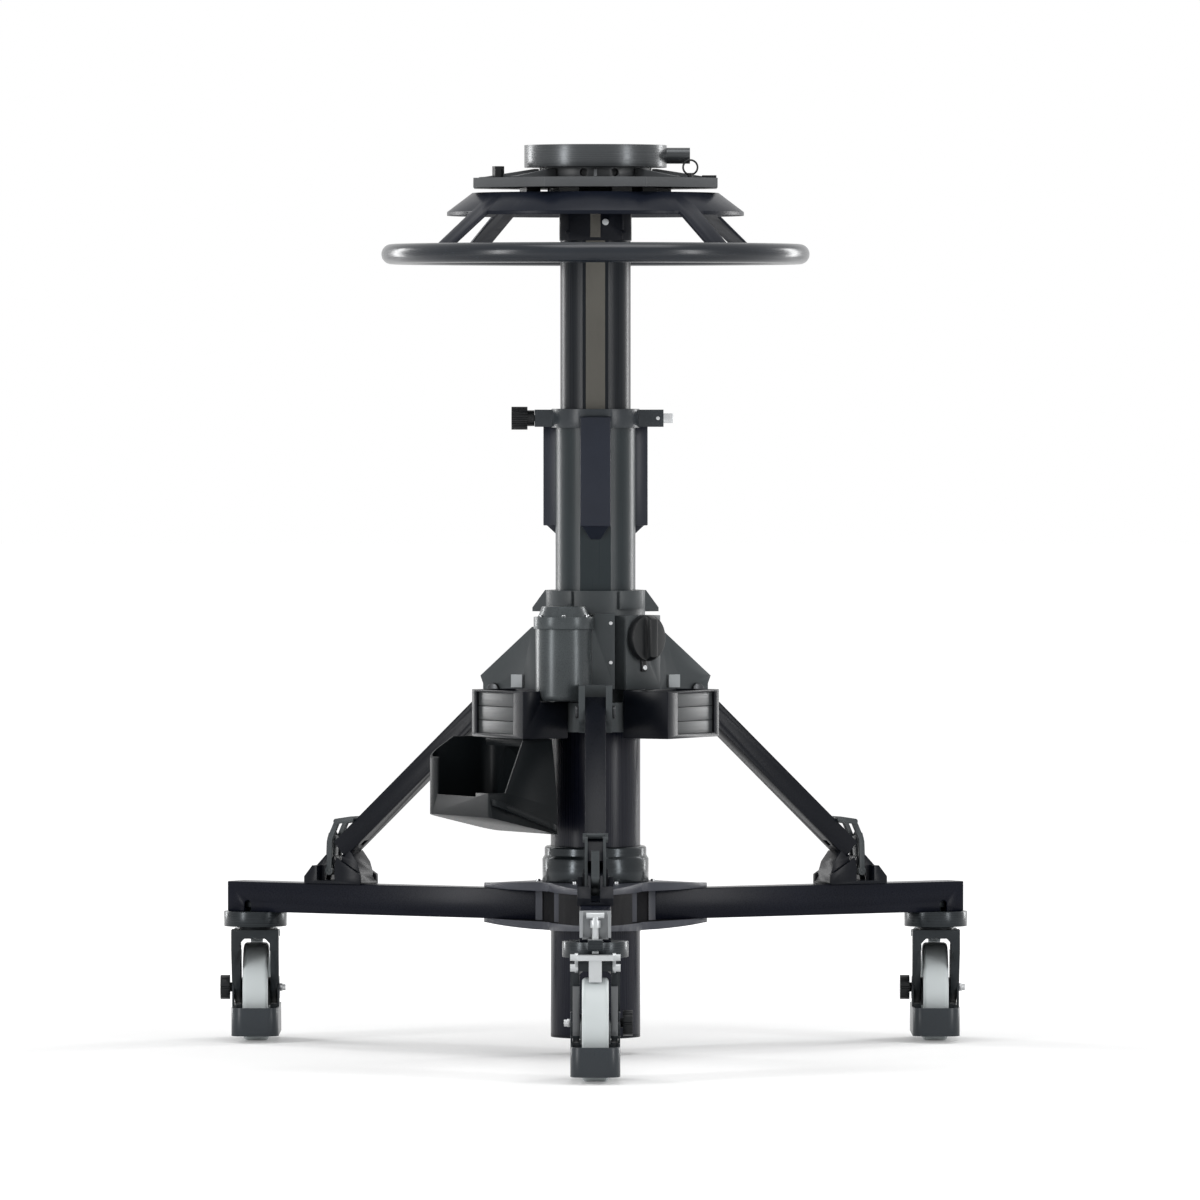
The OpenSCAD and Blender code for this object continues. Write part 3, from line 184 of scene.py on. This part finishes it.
# Skid, legs and stays
SATIN_BLACK = coated("satin_black_paint", (0.004, 0.005, 0.008), 0.32, specular=0.12)
LEG_BLACK = coated("leg_black_paint", (0.004, 0.005, 0.01), 0.28, specular=0.1)
STAY_BLACK = coated("stay_black_paint", (0.003, 0.004, 0.007), 0.32, specular=0.12)
HUB_PAINT = coated("hub_slate_paint", (0.045, 0.048, 0.06), 0.38, specular=0.22)
# Painted shade: a near-black paint for the faces shut inside the hub, standing in for the shade there
RECESS_SHADE = coated("painted_recess_shade", (0.004, 0.004, 0.005), 0.7, specular=0.1)
TURNED = drawn("turned_dark_ring", (0.02, 0.024, 0.027), 0.2, metallic=0.6, specular=0.4,
               along=LINES_ROUND, depth=TURNING_MARKS)
MACHINED = drawn("machined_boss", (0.016, 0.02, 0.023), 0.26, metallic=0.4, specular=0.35,
                 along=LINES_ROUND, depth=TURNING_MARKS)
LIGHT_CASTING = coated("light_grey_casting", (0.26, 0.27, 0.28), 0.36, metallic=0.4, specular=0.4)

# Castors
HOOD = coated("fork_paint", (0.018, 0.022, 0.025), 0.34, grain=1100, grain_depth=MEDIUM_GRAIN,
              specular=0.2)
CHEEK = coated("fork_cheek_edge", (0.13, 0.135, 0.14), 0.34, metallic=0.3, specular=0.3)
GREY_CASTING = coated("anthracite_casting", (0.026, 0.031, 0.036), 0.32, grain=1100,
                      grain_depth=MEDIUM_GRAIN, specular=0.25)
TYRE = coated("grey_polyurethane", (0.55, 0.59, 0.595), 0.46, grain=700, variation=0.04, specular=0.3)
WHEEL = coated("moulded_wheel", (0.08, 0.088, 0.092), 0.45)
SILVER = coated("silver_paint", (0.52, 0.54, 0.55), 0.34, metallic=0.35, variation=0.05)

# Column and collar
COLUMN = drawn("lower_column_anodised", (0.005, 0.006, 0.012), 0.28, specular=0.18)
STAGE = drawn("stage_tube_anodised", (0.016, 0.022, 0.025), 0.32, specular=0.2)
INNER = drawn("inner_column_anodised", (0.006, 0.008, 0.011), 0.3, specular=0.14)
COVER = coated("roller_cover_paint", (0.015, 0.018, 0.027), 0.34, specular=0.18)
CASTING = coated("dark_textured_casting", (0.0416, 0.048, 0.0512), 0.42, grain=1300,
                 grain_depth=COARSE_GRAIN, specular=0.25)
VALVE = coated("valve_housing_casting", (0.045, 0.052, 0.055), 0.3, grain=1100,
               grain_depth=MEDIUM_GRAIN, metallic=0.3, specular=0.3)
CLIP = coated("light_grey_clip", (0.34, 0.36, 0.37), 0.45, specular=0.3)
BIN = coated("bin_moulding", (0.006, 0.0075, 0.0085), 0.36, grain=1600, grain_depth=COARSE_GRAIN,
             specular=0.08)
WEIGHTS = drawn("weight_slab_steel", (0.034, 0.037, 0.039), 0.4, specular=0.3, along=LINES_ROUND)
TAN = drawn("tan_running_strip", (0.1, 0.096, 0.085), 0.5, specular=0.15)
PAD = coated("acetal_pad", (0.6, 0.58, 0.52), 0.45, variation=0.04)

# Head and controls
GRIP = coated("handling_ring_cover", (0.009, 0.012, 0.017), 0.24, grain=500, grain_depth=0.004 * MM,
              specular=0.34, drift=0.02)
FAIRING = coated("fairing_paint", (0.005, 0.007, 0.013), 0.34, specular=0.12)
PLATE = coated("weight_plate_casting", (0.07, 0.074, 0.078), 0.38, specular=0.3)
LOCK = drawn("lock_ring_finish", (0.0467, 0.051, 0.0544), 0.28, metallic=0.5, along=LINES_ROUND,
             depth=TURNING_MARKS)
KNOB = coated("black_moulding", (0.008, 0.009, 0.01), 0.34, grain=1800, grain_depth=COARSE_GRAIN,
              specular=0.25)
STEEL = drawn("satin_steel", (0.5, 0.51, 0.52), 0.28, metallic=1.0)
BLACK_STEEL = drawn("blackened_steel", (0.04, 0.042, 0.045), 0.34, metallic=0.7)

FINISH = {
    "hub_frame": HUB_PAINT, "hub_top_plate": HUB_PAINT, "seat_ring": TURNED, "leg_tubes": LEG_BLACK,
    "leg_end_castings": MACHINED, "latch_brackets": SATIN_BLACK, "column_tube": COLUMN,
    "column_foot": SATIN_BLACK, "collar": CASTING, "collar_guide_pads": PAD, "valve_cap": VALVE,
    "stay_tubes": STAY_BLACK, "stay_bolts": BLACK_STEEL, "weight_trays": SATIN_BLACK,
    "trim_weights": WEIGHTS, "storage_bin": BIN, "stage_tube": STAGE, "roller_covers": COVER,
    "stage_guide_pads": PAD, "clamp_ring": GREY_CASTING, "inner_column": INNER, "track_strips": TAN,
    "inner_foot": SATIN_BLACK, "head_block": SATIN_BLACK, "fairing": FAIRING, "handling_ring": GRIP,
    "weight_plate": PLATE, "head_seat": PLATE, "head_fittings": KNOB, "brake_knob": KNOB,
    "clamp_ring_knob": KNOB, "clamp_ring_lever": STEEL, "lock_ring": LOCK,
}
SIDE_FINISH = {
    "fork": HOOD, "tyre": TYRE, "wheel_centre": WHEEL, "brake": SILVER, "cable_guard": GREY_CASTING,
    "guard_screw": KNOB, "tracking_plunger": SILVER, "lever": CASTING, "claw": CASTING,
}
FINISH.update({f"{part}_{side}": material for part, material in SIDE_FINISH.items() for side in SIDES})


# Edges of the CAD solids, rounded as castings, mouldings and tubes are

# Width of the rounding on each solid, in millimetres; the others keep their own faces
EDGE = {
    "collar": 1.2, "leg_tubes": 1.0, "stay_tubes": 0.9, "hub_frame": 0.7, "hub_top_plate": 0.8,
    "seat_ring": 1.2, "leg_end_castings": 0.8, "latch_brackets": 0.7, "column_tube": 0.5,
    "valve_cap": 1.0, "weight_trays": 1.0, "trim_weights": 0.8, "storage_bin": 1.3,
    "roller_covers": 1.2, "clamp_ring": 1.0, "head_block": 0.7, "fairing": 0.9, "weight_plate": 0.9,
    "head_seat": 0.8, "lock_ring": 1.4, "brake_knob": 1.4, "clamp_ring_knob": 1.0,
    "clamp_ring_lever": 1.2, "stay_bolts": 0.8,
}
SIDE_EDGE = {
    "fork": 1.0, "wheel_centre": 0.8, "brake": 0.8, "cable_guard": 0.6, "guard_screw": 1.0,
    "tracking_plunger": 0.6, "lever": 0.8, "claw": 0.5,
}
EDGE.update({f"{part}_{side}": width for part, width in SIDE_EDGE.items() for side in SIDES})

# Solids with a flat face round an opening, which is split before its edges are rounded
WINDOWED = ("weight_trays", "stay_tubes", "hub_frame", "roller_covers")

MERGE_WITHIN = 0.004 * MM
FLAT_WITHIN = math.radians(0.4)
ROUNDED_FROM = math.radians(40)
SHARP_FROM = math.radians(38)
EDGE_STEPS = 2

# The weight plate's top face lies this far over the lowest face of its spacer
SPACER_AND_PLATE = 18.1
plate_top = height("weight_plate")[0] / MM + SPACER_AND_PLATE

# What is left of the raised rim, and how far out from the axis it is sunk
SUNK_RISE = 0.4
NECK_CLEAR = 60


def plain_mesh(piece):
    """Replaces the piece's mesh by its evaluated one, without modifiers."""
    depsgraph = bpy.context.evaluated_depsgraph_get()
    mesh = bpy.data.meshes.new_from_object(piece.evaluated_get(depsgraph))
    piece.modifiers.clear()
    piece.data = mesh


def new_piece(name, mesh, material=None):
    piece = bpy.data.objects.new(name, mesh)
    bpy.context.scene.collection.objects.link(piece)
    if material:
        mesh.materials.clear()
        mesh.materials.append(material)
    return piece


def smooth(mesh):
    for polygon in mesh.polygons:
        polygon.use_smooth = True
    mesh.set_sharp_from_angle(angle=SHARP_FROM)


def sink_rim(work):
    """Lays the raised rim of the weight plate flat, because its webs stand free."""
    for corner in work.verts:
        place = local(corner.co)
        if place.z > plate_top + SUNK_RISE and math.hypot(place.x, place.y) > NECK_CLEAR:
            corner.co.z = (plate_top + SUNK_RISE) * MM


def rounded_copy(node, width):
    """A copy of the CAD solid with its edges rounded, which stands for the node."""
    mesh = frame["nodes"][node].data.copy()
    work = bmesh.new()
    work.from_mesh(mesh)
    bmesh.ops.remove_doubles(work, verts=work.verts, dist=MERGE_WITHIN)
    if node == "weight_plate":
        sink_rim(work)
    bmesh.ops.dissolve_limit(work, angle_limit=FLAT_WITHIN, verts=work.verts, edges=work.edges)
    if node in WINDOWED:
        bmesh.ops.connect_verts_concave(work, faces=work.faces)
    work.to_mesh(mesh)
    work.free()
    piece = new_piece(f"{node}_finished", mesh, FINISH[node])
    bevel = piece.modifiers.new("edges", "BEVEL")
    bevel.width = width
    bevel.segments = EDGE_STEPS
    bevel.limit_method = "ANGLE"
    bevel.angle_limit = ROUNDED_FROM
    bevel.use_clamp_overlap = True
    bevel.miter_outer = "MITER_ARC"
    plain_mesh(piece)
    smooth(piece.data)
    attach(piece, body_of[node])
    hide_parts(node)
    return piece


finished = {}
for node, solid in frame["nodes"].items():
    if node in EDGE:
        finished[node] = rounded_copy(node, EDGE[node] * MM)
    else:
        solid.data.materials.clear()
        solid.data.materials.append(FINISH[node])


# Faces with another finish than their casting or paint, or with painted shade: each test takes the middle
# of a face, in millimetres from the column axis or from its castor's stem, and the way the face points


def on_clip(place, facing):
    """The cable clips stand proud of the two side gussets."""
    clip_low, clip_high = 457, 476
    clip_near, clip_far = 91, 109
    gusset_face = 21.4
    away = math.radians(LEG_AZIMUTH["right" if place.x > 0 else "left"])
    out = place.x * math.cos(away) + place.y * math.sin(away)
    aside = abs(place.y * math.cos(away) - place.x * math.sin(away))
    return clip_low < place.z < clip_high and clip_near < out < clip_far and aside > gusset_face


def on_valve(place, facing):
    """The valve housing in front of the collar's sleeve, up to its cap."""
    housing_x, housing_y = -39.4, -92
    housing_reach = 36.5
    housing_top = 536
    sleeve_front = -60
    beside = (place.x - housing_x) ** 2 + (place.y - housing_y) ** 2 < housing_reach ** 2
    return beside and place.z < housing_top and place.y < sleeve_front


def on_front_end(place, facing):
    """The end plate of the front leg, over its castor's boss."""
    plate_front = -528
    boss_top = 168
    return place.y < plate_front and place.z > boss_top


def shaded_in_hub(place, facing):
    """The faces inside the skid's hub, which the front walls and the plates shut in, painted near black as
    shade.
    """
    plate_rim, plate_face = 167.4, 166.2
    hub_top = 205
    upward, forward = 0.7, -0.6
    wall_half = 100
    over_plate = place.z > plate_rim or (place.z > plate_face and facing.z > upward)
    on_front_wall = facing.y < forward and abs(place.x) < wall_half
    return over_plate and place.z < hub_top and not on_front_wall


# Front of the head block, where the strip and its screw lie
STRIP_FACE = -45.2


def on_head_strip(place, facing):
    """The running strip's upper end, on the front of the head block."""
    strip_half = 6.4
    return abs(place.x) < strip_half and place.y < STRIP_FACE


def on_head_screw(place, facing):
    """The screw beside the strip."""
    screw_x, screw_half = 12.5, 4.6
    return abs(place.x - screw_x) < screw_half and place.y < STRIP_FACE


def on_cheek_edge(place, facing):
    """The far edges of a fork's two cheeks, behind the axle."""
    edge_x, edge_y = 54, 17
    edge_low, edge_high = 56, 118
    return place.x > edge_x and abs(place.y) > edge_y and edge_low < place.z < edge_high


def on_guard_bolt(place, facing):
    """The bolt end and nut across from the cable guard's knob."""
    bolt_x, cheek_y = 30, -30.1
    bolt_low, bolt_high = 60, 78
    return place.x < bolt_x and place.y < cheek_y and bolt_low < place.z < bolt_high


def finish_or_shade_faces(piece, material, chosen, to_local=local):
    """Gives the faces that the test picks a finish of their own, or painted shade."""
    piece.data.materials.append(material)
    index = len(piece.data.materials) - 1
    for polygon in piece.data.polygons:
        if chosen(to_local(polygon.center), polygon.normal):
            polygon.material_index = index


finish_or_shade_faces(finished["collar"], CLIP, on_clip)
finish_or_shade_faces(finished["collar"], VALVE, on_valve)
finish_or_shade_faces(finished["leg_end_castings"], LIGHT_CASTING, on_front_end)
# Painted shade: the faces shut inside the hub are painted near black
finish_or_shade_faces(finished["hub_frame"], RECESS_SHADE, shaded_in_hub)
finish_or_shade_faces(finished["head_block"], TAN, on_head_strip)
finish_or_shade_faces(finished["head_block"], SILVER, on_head_screw)
for side in SIDES:
    for material, chosen in ((CHEEK, on_cheek_edge), (STEEL, on_guard_bolt)):
        finish_or_shade_faces(finished[f"fork_{side}"], material, chosen, lambda point: castor_local(point, side))


# Repeated fasteners and webs


def new_tree(name, inputs):
    """A tree with the given inputs, as pairs of a name and a socket type, and one geometry output."""
    tree = bpy.data.node_groups.new(name, "GeometryNodeTree")
    for label, kind in inputs:
        tree.interface.new_socket(label, in_out="INPUT", socket_type=f"NodeSocket{kind}")
    tree.interface.new_socket("Geometry", in_out="OUTPUT", socket_type="NodeSocketGeometry")
    return tree, tree.nodes.new("NodeGroupInput"), tree.nodes.new("NodeGroupOutput")


def end_tree(tree, given, result, instances):
    """Makes the instances real, gives them the tree's material and hands them out."""
    realize = tree.nodes.new("GeometryNodeRealizeInstances")
    tree.links.new(instances, realize.inputs["Geometry"])
    finish = tree.nodes.new("GeometryNodeSetMaterial")
    tree.links.new(realize.outputs["Geometry"], finish.inputs["Geometry"])
    tree.links.new(given.outputs["Material"], finish.inputs["Material"])
    tree.links.new(finish.outputs["Geometry"], result.inputs["Geometry"])


def screw_circle_tree():
    """Socket-head screws on a circle round the origin, heads towards +Z."""
    tree, given, result = new_tree("screws_on_a_circle", [
        ("Geometry", "Geometry"), ("Screws", "Int"), ("Circle radius", "Float"), ("Head radius", "Float"),
        ("Head height", "Float"), ("Socket radius", "Float"), ("Material", "Material")])
    nodes, links = tree.nodes, tree.links
    circle = nodes.new("GeometryNodeMeshCircle")
    links.new(given.outputs["Screws"], circle.inputs["Vertices"])
    links.new(given.outputs["Circle radius"], circle.inputs["Radius"])
    head = nodes.new("GeometryNodeMeshCylinder")
    head.inputs["Vertices"].default_value = 20
    links.new(given.outputs["Head radius"], head.inputs["Radius"])
    links.new(given.outputs["Head height"], head.inputs["Depth"])
    socket = nodes.new("GeometryNodeMeshCylinder")
    socket.inputs["Vertices"].default_value = 6
    links.new(given.outputs["Socket radius"], socket.inputs["Radius"])
    links.new(given.outputs["Head height"], socket.inputs["Depth"])
    half = nodes.new("ShaderNodeMath")
    half.operation = "MULTIPLY"
    half.inputs[1].default_value = 0.5
    links.new(given.outputs["Head height"], half.inputs[0])
    raised = nodes.new("ShaderNodeCombineXYZ")
    links.new(half.outputs[0], raised.inputs["Z"])
    lift = nodes.new("GeometryNodeTransform")
    links.new(socket.outputs["Mesh"], lift.inputs["Geometry"])
    links.new(raised.outputs["Vector"], lift.inputs["Translation"])
    recess = nodes.new("GeometryNodeMeshBoolean")
    recess.operation = "DIFFERENCE"
    recess.solver = "EXACT"
    links.new(head.outputs["Mesh"], recess.inputs["Mesh 1"])
    links.new(lift.outputs["Geometry"], recess.inputs["Mesh 2"])
    copies = nodes.new("GeometryNodeInstanceOnPoints")
    links.new(circle.outputs["Mesh"], copies.inputs["Points"])
    links.new(recess.outputs["Mesh"], copies.inputs["Instance"])
    end_tree(tree, given, result, copies.outputs["Instances"])
    return tree


def web_tree():
    """Copies of one web, turned evenly round the origin."""
    tree, given, result = new_tree("webs_round_a_neck", [
        ("Web", "Geometry"), ("Webs", "Int"), ("Step angle", "Float"), ("Material", "Material")])
    nodes, links = tree.nodes, tree.links
    points = nodes.new("GeometryNodePoints")
    links.new(given.outputs["Webs"], points.inputs["Count"])
    index = nodes.new("GeometryNodeInputIndex")
    angle = nodes.new("ShaderNodeMath")
    angle.operation = "MULTIPLY"
    links.new(index.outputs[0], angle.inputs[0])
    links.new(given.outputs["Step angle"], angle.inputs[1])
    turn = nodes.new("ShaderNodeCombineXYZ")
    links.new(angle.outputs[0], turn.inputs["Z"])
    copies = nodes.new("GeometryNodeInstanceOnPoints")
    links.new(points.outputs[0], copies.inputs["Points"])
    links.new(given.outputs["Web"], copies.inputs["Instance"])
    links.new(turn.outputs[0], copies.inputs["Rotation"])
    end_tree(tree, given, result, copies.outputs["Instances"])
    return tree


def shape_by_tree(piece, tree, values, placed):
    """Runs the tree on the piece with the given inputs, and keeps the result in its place."""
    modifier = piece.modifiers.new("tree", "NODES")
    modifier.node_group = tree
    for item in tree.interface.items_tree:
        if item.item_type == "SOCKET" and item.in_out == "INPUT" and item.name in values:
            modifier[item.identifier] = values[item.name]
    plain_mesh(piece)
    piece.data.transform(placed)
    smooth(piece.data)


SCREW_CIRCLE = screw_circle_tree()
WEBS = web_tree()


def screws(name, placed, count, circle_radius, head_radius):
    """Steel socket heads on a circle, their middles at the level where they are placed, in millimetres."""
    head_height = 3
    socket_share = 0.5
    piece = new_piece(name, bpy.data.meshes.new(name))
    shape_by_tree(piece, SCREW_CIRCLE, {
        "Screws": count, "Circle radius": circle_radius * MM, "Head radius": head_radius * MM,
        "Head height": head_height * MM, "Socket radius": head_radius * MM * socket_share,
        "Material": STEEL}, placed)
    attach(piece, "pedestal")


def turned(degrees):
    return Matrix.Rotation(math.radians(degrees), 4, "Z")


def web_mesh(near, far, tall, low, half):
    """A wedge of a web that stands on the plate, sizes in millimetres from the column axis."""
    toe, toe_rise = 8, 0.6
    top = 6
    edge = 0.5
    upper = [(far, low), (far - toe, low + toe_rise), (near + top, tall), (near, tall)]
    profile = [(near, 0), (far, 0), *upper]
    work = bmesh.new()
    sides = [[work.verts.new((x * MM, y * MM, z * MM)) for x, z in profile] for y in (-half, half)]
    work.faces.new(sides[0])
    work.faces.new(list(reversed(sides[1])))
    for k in range(len(profile)):
        after = (k + 1) % len(profile)
        work.faces.new([sides[0][after], sides[0][k], sides[1][k], sides[1][after]])
    bmesh.ops.recalc_face_normals(work, faces=work.faces)
    bmesh.ops.bevel(work, geom=work.edges[:], offset=edge * MM, segments=1, profile=0.5, affect="EDGES")
    mesh = bpy.data.meshes.new("plate_web")
    work.to_mesh(mesh)
    work.free()
    return mesh


def plate_webs():
    """Eight webs that run out from the head seat over the weight plate."""
    web_count = 8
    web_lift = 0.1
    webs = new_piece("plate_webs", web_mesh(near=70.6, far=146, tall=12, low=1.6, half=2))
    shape_by_tree(webs, WEBS,
                  {"Webs": web_count, "Step angle": math.radians(360 / web_count), "Material": PLATE},
                  Matrix.Translation(axis + Vector((0, 0, plate_top + web_lift)) * MM))
    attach(webs, "top_stage")


def valve_cap_screws():
    """Six screws in the flange of the valve cap."""
    flange_face = 14.5
    head_lift = 1.2
    middle = centre("valve_cap")
    level = height("valve_cap")[0] + flange_face * MM + head_lift * MM
    placed = Matrix.Translation((middle.x, middle.y, level)) @ turned(30)
    screws("valve_cap_screws", placed, count=6, circle_radius=33.8, head_radius=2.6)


def hub_screws():
    """Three screws each side of the front leg, in the hub's top plate round the seat ring."""
    head_lift = 1.1
    level = height("hub_top_plate")[1] + head_lift * MM
    for name, aside in (("hub_screws_left", -21), ("hub_screws_right", 21)):
        placed = Matrix.Translation(axis + Vector((0, 0, level))) @ turned(LEG_AZIMUTH["front"] + aside)
        screws(name, placed, count=3, circle_radius=72.5, head_radius=2.7)


plate_webs()
valve_cap_screws()
hub_screws()


# Small parts on the front of the collar's casting, in millimetres from the column axis


def fixed_piece(name, work, material, placed):
    """A piece of the pedestal from a mesh in millimetres, turned or moved round the column axis."""
    mesh = bpy.data.meshes.new(name)
    work.to_mesh(mesh)
    work.free()
    mesh.transform(placed)
    mesh.transform(Matrix.Scale(MM, 4))
    mesh.transform(Matrix.Translation(axis))
    piece = new_piece(name, mesh, material)
    smooth(mesh)
    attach(piece, "pedestal")


def rounded_block(name, low, high, edge, material, placed):
    """A block given by two corners."""
    work = bmesh.new()
    bmesh.ops.create_cube(work, size=1)
    size = Vector(high) - Vector(low)
    middle = (Vector(high) + Vector(low)) / 2
    for corner in work.verts:
        corner.co = Vector(c * s for c, s in zip(corner.co, size)) + middle
    bmesh.ops.bevel(work, geom=work.edges[:], offset=edge, segments=2, profile=0.5, affect="EDGES")
    fixed_piece(name, work, material, placed)


def screw_head(name, foot, facing, radius, length, placed=Matrix()):
    """A round steel head with a soft rim, which stands on its foot point."""
    around = 28
    rim, rim_share = 0.6, 0.3
    work = bmesh.new()
    bmesh.ops.create_cone(work, cap_ends=True, segments=around, radius1=radius, radius2=radius,
                          depth=length)
    bmesh.ops.translate(work, verts=work.verts, vec=(0, 0, length / 2))
    top_edges = [edge for edge in work.edges if all(end.co.z > 0.5 * length for end in edge.verts)]
    bmesh.ops.bevel(work, geom=top_edges, offset=min(rim, length * rim_share), segments=2, profile=0.5,
                    affect="EDGES")
    turn = Vector((0, 0, 1)).rotation_difference(Vector(facing)).to_matrix().to_4x4()
    bmesh.ops.transform(work, matrix=Matrix.Translation(foot) @ turn, verts=work.verts)
    fixed_piece(name, work, STEEL, placed)


def brake_link():
    """The link under the column brake's knob, with its screw, on the casting's slanting face."""
    knob_side = turned(-45)
    casting_face = 84.1
    sunk, proud = 1, 2.6
    link_half = 5
    link_low, link_high = 480, 501
    screw_level, screw_sunk = 485, 0.6
    rounded_block("brake_link", (casting_face - sunk, -link_half, link_low),
                  (casting_face + proud, link_half, link_high), 1.2, KNOB, knob_side)
    screw_head("brake_link_screw", (casting_face + proud - screw_sunk, 0, screw_level), (1, 0, 0),
               radius=3.2, length=1.8, placed=knob_side)


def casting_screws():
    """Two screws that close the casting between the valve and the brake."""
    screw_x, casting_front = 19, -87.6
    for number, level in enumerate((492, 541)):
        screw_head(f"casting_screw_{number}", (screw_x, casting_front, level), (0, -1, 0),
                   radius=2.3, length=1.6)


brake_link()
casting_screws()


# Floor, light and camera

FLOOR_TONE = 0.9
FLOOR_HALF = 40

# The floor glows for the rays that see it, less near the castors, where their shadows lie
GLOW_NEAR = 0.12
GLOW_FAR = 0.68
GLOW_STARTS = 0.9
GLOW_FULL = 3.0

AMBIENT = 0.4
BACKDROP = 1.0


def background_rays(tree):
    """One for the rays that see the background: straight, in gloss and through glass."""
    path = tree.nodes.new("ShaderNodeLightPath")
    seen = path.outputs["Is Camera Ray"]
    for kind in ("Is Glossy Ray", "Is Transmission Ray"):
        either = tree.nodes.new("ShaderNodeMath")
        either.operation = "MAXIMUM"
        tree.links.new(seen, either.inputs[0])
        tree.links.new(path.outputs[kind], either.inputs[1])
        seen = either.outputs[0]
    return seen


def floor_material():
    material = bpy.data.materials.new("white_floor")
    material.use_nodes = True
    nodes, links = material.node_tree.nodes, material.node_tree.links
    nodes.clear()
    output = nodes.new("ShaderNodeOutputMaterial")
    diffuse = nodes.new("ShaderNodeBsdfDiffuse")
    diffuse.inputs["Color"].default_value = (FLOOR_TONE, FLOOR_TONE, FLOOR_TONE, 1)
    coordinates = nodes.new("ShaderNodeTexCoord")
    reach = nodes.new("ShaderNodeVectorMath")
    reach.operation = "LENGTH"
    links.new(coordinates.outputs["Object"], reach.inputs[0])
    far_off = nodes.new("ShaderNodeMapRange")
    far_off.inputs["From Min"].default_value = GLOW_STARTS
    far_off.inputs["From Max"].default_value = GLOW_FULL
    far_off.inputs["To Min"].default_value = GLOW_NEAR
    far_off.inputs["To Max"].default_value = GLOW_FAR
    links.new(reach.outputs["Value"], far_off.inputs["Value"])
    strength = nodes.new("ShaderNodeMath")
    strength.operation = "MULTIPLY"
    links.new(background_rays(material.node_tree), strength.inputs[0])
    links.new(far_off.outputs["Result"], strength.inputs[1])
    glow = nodes.new("ShaderNodeEmission")
    links.new(strength.outputs[0], glow.inputs["Strength"])
    add = nodes.new("ShaderNodeAddShader")
    links.new(diffuse.outputs[0], add.inputs[0])
    links.new(glow.outputs[0], add.inputs[1])
    links.new(add.outputs[0], output.inputs["Surface"])
    return material


def white_floor():
    corners = [(x * FLOOR_HALF, y * FLOOR_HALF, 0) for x, y in ((-1, -1), (1, -1), (1, 1), (-1, 1))]
    mesh = bpy.data.meshes.new("floor")
    mesh.from_pydata(corners, [], [(0, 1, 2, 3)])
    new_piece("floor", mesh, floor_material())


def studio_world():
    """A dim white room, with a full white backdrop for the rays that see it."""
    world = bpy.data.worlds.new("studio")
    bpy.context.scene.world = world
    world.use_nodes = True
    tree = world.node_tree
    tree.nodes.clear()
    output = tree.nodes.new("ShaderNodeOutputWorld")
    mixed = tree.nodes.new("ShaderNodeMixShader")
    tree.links.new(background_rays(tree), mixed.inputs["Fac"])
    for number, strength in ((1, AMBIENT), (2, BACKDROP)):
        white = tree.nodes.new("ShaderNodeBackground")
        white.inputs["Color"].default_value = (1, 1, 1, 1)
        white.inputs["Strength"].default_value = strength
        tree.links.new(white.outputs[0], mixed.inputs[number])
    tree.links.new(mixed.outputs[0], output.inputs["Surface"])


def softbox(name, place, width, length, power):
    """An area light that points at the middle of the column, in metres and watts."""
    aim = Vector((axis.x, axis.y, 0.6))
    light = bpy.data.lights.new(name, "AREA")
    light.shape = "RECTANGLE"
    light.size = width
    light.size_y = length
    light.energy = power
    lamp = bpy.data.objects.new(name, light)
    lamp.location = place
    lamp.rotation_euler = (aim - Vector(place)).to_track_quat("-Z", "Y").to_euler()
    bpy.context.scene.collection.objects.link(lamp)


def photo_camera():
    """The view of the photograph, from what it measures in pixels and from a distance in metres."""
    image_width = 1200
    focal_pixels = 11300
    horizon_row = 364
    axis_column = 595.5
    distance = 14.125
    lens_height = 0.863
    sensor_width = 36
    data = bpy.data.cameras.new("photo_camera")
    data.sensor_width = sensor_width
    data.lens = focal_pixels / image_width * sensor_width
    data.clip_end = 200
    camera = bpy.data.objects.new("photo_camera", data)
    sideways = (image_width / 2 - axis_column) / focal_pixels * distance
    tilt = math.atan((image_width / 2 - horizon_row) / focal_pixels)
    camera.location = (axis.x + sideways, axis.y - distance, lens_height)
    camera.rotation_euler = (math.radians(90) - tilt, 0, 0)
    bpy.context.scene.collection.objects.link(camera)
    bpy.context.scene.camera = camera


white_floor()
studio_world()
softbox("left_softbox", (-3.2, -2.4, 1.3), width=0.5, length=2.6, power=75)
softbox("right_softbox", (3.2, -2.4, 1.3), width=0.5, length=2.6, power=60)
softbox("top_softbox", (0.2, -0.6, 3.4), width=2.2, length=1.6, power=40)
softbox("left_rim", (-2.6, 2.4, 1.2), width=0.6, length=2.2, power=45)
softbox("right_rim", (2.6, 2.4, 1.2), width=0.6, length=2.2, power=45)
photo_camera()
bpy.context.scene.view_settings.view_transform = "Standard"
